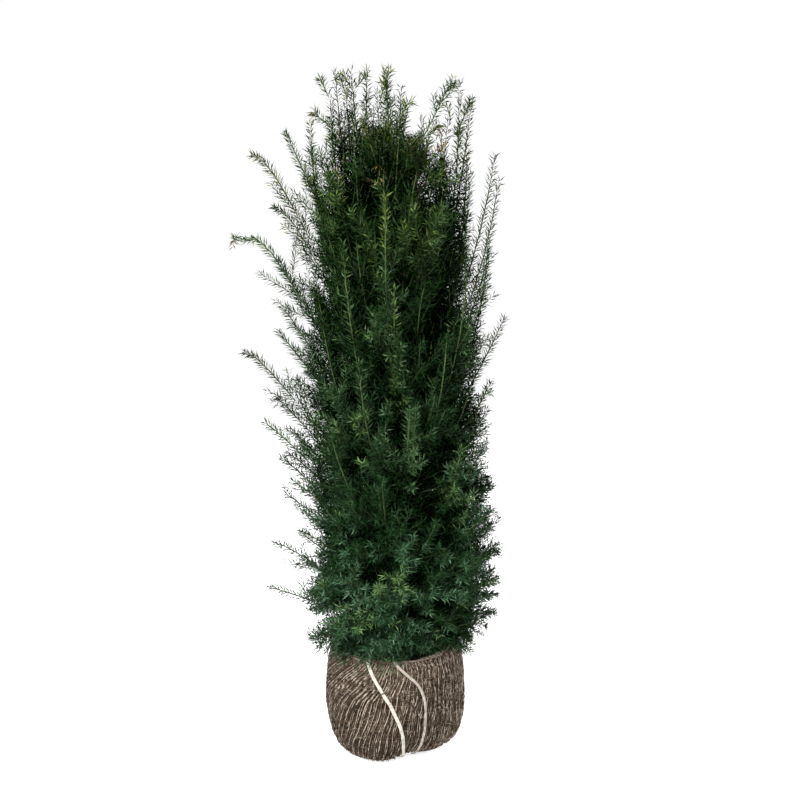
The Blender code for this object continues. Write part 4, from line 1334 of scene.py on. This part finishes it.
def lengthwise_threads(rng):
    """Threads that run down the side on its ridges, pale over some stretches and dark over others."""
    share = np.tile(np.linspace(0.0, 0.985, THREAD_STEPS), (WARP_THREADS, 1))
    number = np.arange(WARP_THREADS)[:, None]
    turn = number * math.tau / WARP_THREADS + rng.normal(0, WOBBLE, (WARP_THREADS, 1))
    turn = turn + WOBBLE * np.sin(share * STRETCHES + rng.uniform(0, math.tau, (WARP_THREADS, 1)))
    thick = rng.uniform(0.7, 1.25, (WARP_THREADS, 1)) * rng.uniform(0.7, 1.3, share.shape)
    over = WARP_LIFT + OVER_UNDER * np.cos(math.pi * (share * WEFT_THREADS + number))
    stretch = (share * STRETCHES + number * 0.37 % 1).astype(int)
    chance = rng.random((WARP_THREADS, STRETCHES + 6))[number, stretch]
    chance = chance + rng.normal(0, 0.16, (WARP_THREADS, 1))
    # Threads in the hollows between the ridges are dealt darker tones and those on the crests paler ones, as
    # painted shade in the hollows and painted light on the crests
    chance = chance - 0.36 * ridge_at(turn, share) - 0.15 * np.cos(turn - PALE_BEARING)
    brown, dark = WARP_TONES
    tone = (chance > brown).astype(int) + (chance > dark)
    return tube_piece("jute_threads_down", cloth_place(turn, share, over), THREAD_RADIUS * thick, 3, tone)


def crosswise_threads(rng):
    """The thinner, darker threads that run round the ball between the others."""
    turn = np.tile(np.linspace(0, math.tau, WARP_THREADS + 1), (WEFT_THREADS, 1))
    row = (np.arange(WEFT_THREADS)[:, None] + 0.5) / WEFT_THREADS
    share = row + WOBBLE * np.sin(turn * 5 + row * 40)
    crossing = turn / math.tau * WARP_THREADS + row * WEFT_THREADS
    over = WEFT_LIFT - OVER_UNDER * np.cos(math.pi * crossing)
    thick = rng.uniform(0.45, 0.8, (WEFT_THREADS, 1)) * np.ones((1, WARP_THREADS + 1))
    chance = rng.random((WEFT_THREADS, WARP_THREADS // 5 + 1)).repeat(5, axis=1)[:, : WARP_THREADS + 1]
    brown, dark = WEFT_TONES
    tone = (chance > brown).astype(int) + (chance > dark)
    return tube_piece("jute_threads_across", cloth_place(turn, share, over), THREAD_RADIUS * thick, 3, tone)


def make_threads():
    """The weave of the wrap: its threads both ways, the cords at its edge and its frayed ends."""
    rng = np.random.default_rng(SEED + 1)
    for make in (lengthwise_threads, crosswise_threads, rim_cords, loose_fibres):
        piece = make(rng)
        for name, dark, light in JUTE:
            piece.data.materials.append(jute_finish(name, dark, light))
        dress(piece)


def rim_cords(rng):
    """Stray thicker threads that run round the edge of the wrap."""
    steps = 181
    turn = np.tile(np.linspace(0, math.tau, steps), (RIM_CORDS, 1))
    row = np.arange(RIM_CORDS)[:, None]
    share = 0.016 + 0.016 * row + 0.012 * np.sin(turn * (3 + row) + row * 2)
    lift = 0.0022 + 0.0012 * np.sin(turn * (11 + row) + row)
    tone = (rng.random((RIM_CORDS, 19)) > 0.6).astype(int).repeat(10, axis=1)[:, :steps]
    radii = np.full(turn.shape, RIM_CORD_RADIUS)
    return tube_piece("jute_rim_cords", cloth_place(turn, share, lift), radii, 4, tone)


def loose_fibres(rng):
    """Frayed ends of thread that lie over the weave, most of them along the edge of the wrap."""
    steps = 7
    bearing = rng.uniform(0, math.tau, (LOOSE_FIBRES, 1))
    share = rng.uniform(0.02, 0.95, (LOOSE_FIBRES, 1)) ** 2.2
    along = np.linspace(-0.5, 0.5, steps)
    turn = rng.uniform(0, math.tau, (LOOSE_FIBRES, 1)) + along * rng.normal(0, 1.2, (LOOSE_FIBRES, 1))
    length = rng.uniform(0.010, 0.034, (LOOSE_FIBRES, 1))
    bearing = bearing + along * length * np.cos(turn) / BELLY_RADIUS
    share = np.clip(share + along * length * np.sin(turn) / SIDE_LENGTH, 0, 0.97)
    lift = 0.0014 + 0.003 * rng.random((LOOSE_FIBRES, 1)) * (1 - 4 * along * along)
    paths = cloth_place(bearing, share, lift)
    tone = np.broadcast_to(rng.integers(0, 3, (LOOSE_FIBRES, 1)), paths.shape[:2])
    return tube_piece("jute_fibres", paths, np.full(paths.shape[:2], FIBRE_RADIUS), 3, tone)


def drawn_rings(name, rings, sides):
    """A form drawn out ring by ring from a circle, over rings of (out, height)."""
    deselect()
    out, height = rings[0]
    bpy.ops.mesh.primitive_circle_add(vertices=sides, radius=out, location=(0, 0, height))
    form = bpy.context.object
    form.name = name
    bpy.ops.object.transform_apply()
    bpy.ops.object.mode_set(mode="EDIT")
    bpy.ops.mesh.select_all(action="SELECT")
    for next_out, next_height in rings[1:]:
        bpy.ops.mesh.extrude_region_move(TRANSFORM_OT_translate={"value": (0, 0, next_height - height)})
        ratio = next_out / out
        bpy.ops.transform.resize(value=(ratio, ratio, 1), center_override=(0, 0, next_height))
        out, height = next_out, next_height
    bpy.ops.mesh.merge(type="CENTER")
    bpy.ops.mesh.select_all(action="SELECT")
    if rings[0][0] < 0.02:
        bpy.ops.mesh.fill_holes(sides=0)
    bpy.ops.mesh.normals_make_consistent(inside=False)
    bpy.ops.object.mode_set(mode="OBJECT")
    return form


def vertex_places(piece):
    places = np.empty(len(piece.data.vertices) * 3, dtype=np.float32)
    piece.data.vertices.foreach_get("co", places)
    return places.reshape(-1, 3).astype(float)


def put_vertices(piece, places):
    piece.data.vertices.foreach_set("co", places.astype(np.float32).ravel())
    piece.data.update()


def make_cloth():
    """The ground of the wrap, under its threads: the rolled edge, the side and the underside."""
    rings = [(MOUTH_RADIUS - LIP, RIM_HEIGHT - LIP / 2), (MOUTH_RADIUS - LIP / 2, RIM_HEIGHT - LIP / 12)]
    shares = np.linspace(0, 1, 76)
    outs, heights = side_profile(shares)
    rings += [(float(out), float(height)) for out, height in zip(outs, heights)]
    rings += [(FOOT_RADIUS / 2, 0.0), (0.01, 0.0)]
    cloth = drawn_rings("jute_cloth", rings, 360)
    places = vertex_places(cloth)
    height = places[:, 2]
    out = np.hypot(places[:, 0], places[:, 1])
    turn = np.arctan2(places[:, 1], places[:, 0])
    grain = grain_at(turn)
    away = (out[:, None] - outs) ** 2 + (height[:, None] - heights) ** 2
    share = shares[np.argmin(away, axis=1)]
    below_lip = (height < RIM_HEIGHT - LIP / 20) | (out > MOUTH_RADIUS - 0.001)
    on_side = (out > FOOT_RADIUS - 0.001) & below_lip
    inner = ball_place(grain + slant(grain, np.where(share < 0.5, 0.0, 1.0)), out, height)
    side = cloth_place(turn, share, np.full(len(out), -0.0006))
    put_vertices(cloth, np.where(on_side[:, None], side, inner))
    shell = cloth.modifiers.new("cloth", "SOLIDIFY")
    shell.thickness = 0.002
    shell.offset = -1
    bpy.context.view_layer.objects.active = cloth
    bpy.ops.object.modifier_apply(modifier=shell.name)
    cloth.data.shade_smooth()
    # The ground shows dark between the threads: partly the cloth's own colour and partly painted shade in the
    # gaps of the weave
    dark, light = (0.018, 0.012, 0.008), (0.085, 0.058, 0.040)
    cloth.data.materials.append(finish("jute_ground", dark, light, 90, 0.95, 0.001, specular=0.1))
    dress(cloth, ("jute_wrap",))


def make_soil():
    """The soil and roots inside the wrap, with an uneven top."""
    shares = np.linspace(0.15, 1, 22)
    rings = [(out, SOIL_HEIGHT) for out in np.linspace(0.01, MOUTH_RADIUS - LIP, 20)]
    rings += [(out * 0.965, height) for out, height in zip(*side_profile(shares))]
    rings += [(FOOT_RADIUS / 2, 0.001), (0.01, 0.001)]
    soil = drawn_rings("soil_ball", rings, 96)
    for vert in soil.data.vertices:
        out = math.hypot(vert.co.x, vert.co.y)
        bearing = math.atan2(vert.co.y, vert.co.x)
        top = vert.co.z > SOIL_HEIGHT - 0.001
        vert.co = ball_place(np.array(bearing), np.array(out), np.array(max(vert.co.z, 0.002)))
        if top:
            vert.co.z = SOIL_HEIGHT + 0.003 * noise.fractal(vert.co * 70, 0.9, 2.1, 3)
    soil.data.shade_smooth()
    soil.data.materials.append(finish("soil", (0.010, 0.007, 0.005), (0.060, 0.034, 0.021), 140, 0.95, 0.003))
    dress(soil, ("root_ball",))


def make_litter():
    """The dead needles that lie on the soil."""
    rng = np.random.default_rng(SEED + 2)
    out = (MOUTH_RADIUS - LIP) * np.sqrt(rng.uniform(0.05, 1.0, LITTER))
    bearing = rng.uniform(0, math.tau, LITTER)
    root = polar(bearing, out, SOIL_HEIGHT + rng.uniform(0.001, 0.005, LITTER))
    turn = rng.uniform(0, math.tau, LITTER)
    ahead = polar(turn, 1, rng.uniform(-0.05, 0.3, LITTER))
    across = polar(turn + math.pi / 2, 1, 0 * turn) * NEEDLE_WIDTH / 2
    length = rng.uniform(*LITTER_LENGTH, (LITTER, 1))
    belly = root + ahead * length * LITTER_BELLY + UP * NEEDLE_DEPTH
    points = np.stack((root, belly + across, belly - across, root + ahead * length), axis=1)
    litter = needle_piece("soil_litter", points)
    above = finish("litter", (0.16, 0.065, 0.028), (0.40, 0.19, 0.085), 60, 0.8, 0.0002)
    # The undersides are a darker copy of the tops, as painted shade
    below = finish("litter_below_shaded", (0.07, 0.035, 0.018), (0.16, 0.08, 0.04), 60, 0.8, 0.0002)
    litter.data.materials.append(above)
    litter.data.materials.append(below)
    dress(litter)


def side_bearing(table, share):
    """The bearing of a twine at shares down the side, without corners at the table's heights."""
    heights, degrees = np.array(table, float).T
    fine = np.linspace(0, 1, 201)
    bearing = np.interp(side_profile(fine)[1], heights, np.radians(degrees))
    width = np.hanning(45)
    padded = np.pad(bearing, 22, mode="reflect", reflect_type="odd")
    return np.interp(share, fine, np.convolve(padded, width / width.sum(), mode="valid"))


def twine_run(table, behind):
    """Places along a twine from the tie over the edge of the wrap and down, and which way is out."""
    share = np.linspace(0.0, 0.97, SIDE_STEPS)
    bearing = side_bearing(table, share)
    if behind:
        bearing = 2 * NOTCH_BEARING + math.pi - bearing
    side, out = side_place(bearing, share)
    side = side + out * TWINE_LIFT
    part = np.linspace(0, 1, BRIDGE_STEPS, endpoint=False)[:, None]
    start = outward(side[:1]) * TIE_RADIUS + UP * TIE_HEIGHT
    bridge = start + (side[0] - start) * part + UP * 0.004 * np.sin(math.pi * part)
    over = unit(UP * (1 - part) + out[0] * part)
    return np.concatenate((bridge, side)), np.concatenate((over, out))


def twine_band(name, places, out, width, colour):
    """A flat band of twine with rounded edges along places, with one side towards its outward way."""
    sides = 12
    side = unit(np.cross(unit(np.gradient(places, axis=0)), out))
    angle = np.linspace(0, math.tau, sides, endpoint=False)[None, :, None]
    swell = 1 + 0.06 * np.sin(np.arange(len(places)) * 0.9)
    swell[[0, -1]] = 0.05
    half_width = (swell * width / 2)[:, None, None]
    half_depth = (swell * TWINE_THICKNESS / 2)[:, None, None]
    ring = np.cos(angle) * side[:, None] * half_width + np.sin(angle) * out[:, None] * half_depth
    points = (places[:, None] + ring).reshape(-1, 3)
    band = joined_mesh(name, points, ring_quads(len(places), sides))
    deselect()
    band.select_set(True)
    bpy.context.view_layer.objects.active = band
    bpy.ops.object.mode_set(mode="EDIT")
    bpy.ops.mesh.select_all(action="SELECT")
    bpy.ops.mesh.fill_holes(sides=0)
    bpy.ops.mesh.normals_make_consistent(inside=False)
    bpy.ops.object.mode_set(mode="OBJECT")
    band.data.shade_smooth()
    band.data.materials.append(colour)
    return band


def make_twine():
    bright = finish("twine", (0.46, 0.42, 0.35), (0.76, 0.71, 0.62), 160, 0.85, 0.0005, specular=0.2)
    dull = finish("twine_dull", (0.26, 0.225, 0.18), (0.58, 0.53, 0.46), 110, 0.9, 0.0008, specular=0.1)
    joint = finish("twine_joint", (0.10, 0.08, 0.06), (0.20, 0.16, 0.12), 160, 0.9, 0.0005)
    runs = (
        ("twine_front_left", TWINE_LEFT, False, 1.1, bright),
        ("twine_front_right", TWINE_RIGHT, False, 0.9, dull),
        ("twine_back_left", TWINE_RIGHT, True, 0.95, dull),
        ("twine_back_right", TWINE_LEFT, True, 1.05, bright),
    )
    for name, table, behind, broad, colour in runs:
        places, out = twine_run(table, behind)
        band = twine_band(name + "_band", places, out, TWINE_WIDTH * broad, colour)
        dress(band, (name,))
        if name == "twine_front_left":
            first = BRIDGE_STEPS + int(TWINE_JOIN * SIDE_STEPS)
            short = slice(first, first + 4)
            join = twine_band("twine_join", places[short], out[short], TWINE_WIDTH * broad * 1.05, joint)
            dress(join)

    make_tie(bright)


def make_tie(colour):
    """The turn of twine round the foot of the trunk."""
    deselect()
    bpy.ops.mesh.primitive_torus_add(
        location=(0, 0, TIE_HEIGHT), major_radius=TIE_RADIUS, minor_radius=TIE_WIRE, major_segments=64
    )
    tie = bpy.context.object
    tie.name = "twine_tie_ring"
    bpy.ops.object.transform_apply()
    for vert in tie.data.vertices:
        vert.co.z += TIE_WAVE * math.sin(3 * math.atan2(vert.co.y, vert.co.x))
    tie.data.shade_smooth()
    tie.data.materials.append(colour)
    dress(tie, ("twine_tie",))


# ---------------------------------------------------------------- stage


def brighter_when_seen(tree, lit, seen):
    """A strength that is one value for the light that falls on things and another as it is seen."""
    path = tree.nodes.new("ShaderNodeLightPath")
    strength = tree.nodes.new("ShaderNodeMapRange")
    strength.inputs["To Min"].default_value = lit
    strength.inputs["To Max"].default_value = seen
    tree.links.new(path.outputs["Is Camera Ray"], strength.inputs["Value"])
    return strength.outputs["Result"]


def floor_paint():
    """White paint on a floor that glows a little, so that it shows as white as the room."""
    paint = finish("floor_paint", (0.90, 0.90, 0.90), (0.92, 0.92, 0.92), 2, 0.8, 0.0)
    tree = paint.node_tree
    shader = tree.nodes["Principled BSDF"]
    shader.inputs["Emission Color"].default_value = (1, 1, 1, 1)
    tree.links.new(brighter_when_seen(tree, *FLOOR_GLOW), shader.inputs["Emission Strength"])
    return paint


def make_room_light():
    """A white room that shows at full brightness and lights the plant less."""
    world = bpy.data.worlds.new("studio")
    world.use_nodes = True
    tree = world.node_tree
    room = tree.nodes["Background"]
    room.inputs["Color"].default_value = (1, 1, 1, 1)
    tree.links.new(brighter_when_seen(tree, *ROOM_LIGHT), room.inputs["Strength"])
    bpy.context.scene.world = world


def make_stage():
    deselect()
    bpy.ops.mesh.primitive_plane_add(size=14)
    floor = bpy.context.object
    floor.name = "studio_floor"
    floor.data.materials.append(floor_paint())
    bpy.ops.object.camera_add(location=CAMERA_PLACE, rotation=(math.pi / 2 - CAMERA_PITCH, 0, 0))
    camera = bpy.context.object
    camera.data.lens = LENS
    camera.data.sensor_width = SENSOR
    bpy.context.scene.camera = camera
    for place, size, power in LAMPS:
        bpy.ops.object.light_add(type="AREA", location=place)
        lamp = bpy.context.object
        lamp.data.size = size
        lamp.data.energy = power
        aim = LAMPS_AIM - Vector(place)
        lamp.rotation_euler = aim.to_track_quat("-Z", "Y").to_euler()
    make_room_light()
    bpy.context.scene.view_settings.view_transform = "Standard"


# ---------------------------------------------------------------- the whole plant


make_stage()
make_limbs()
grow_foliage()
make_cloth()
make_threads()
make_soil()
make_litter()
make_twine()
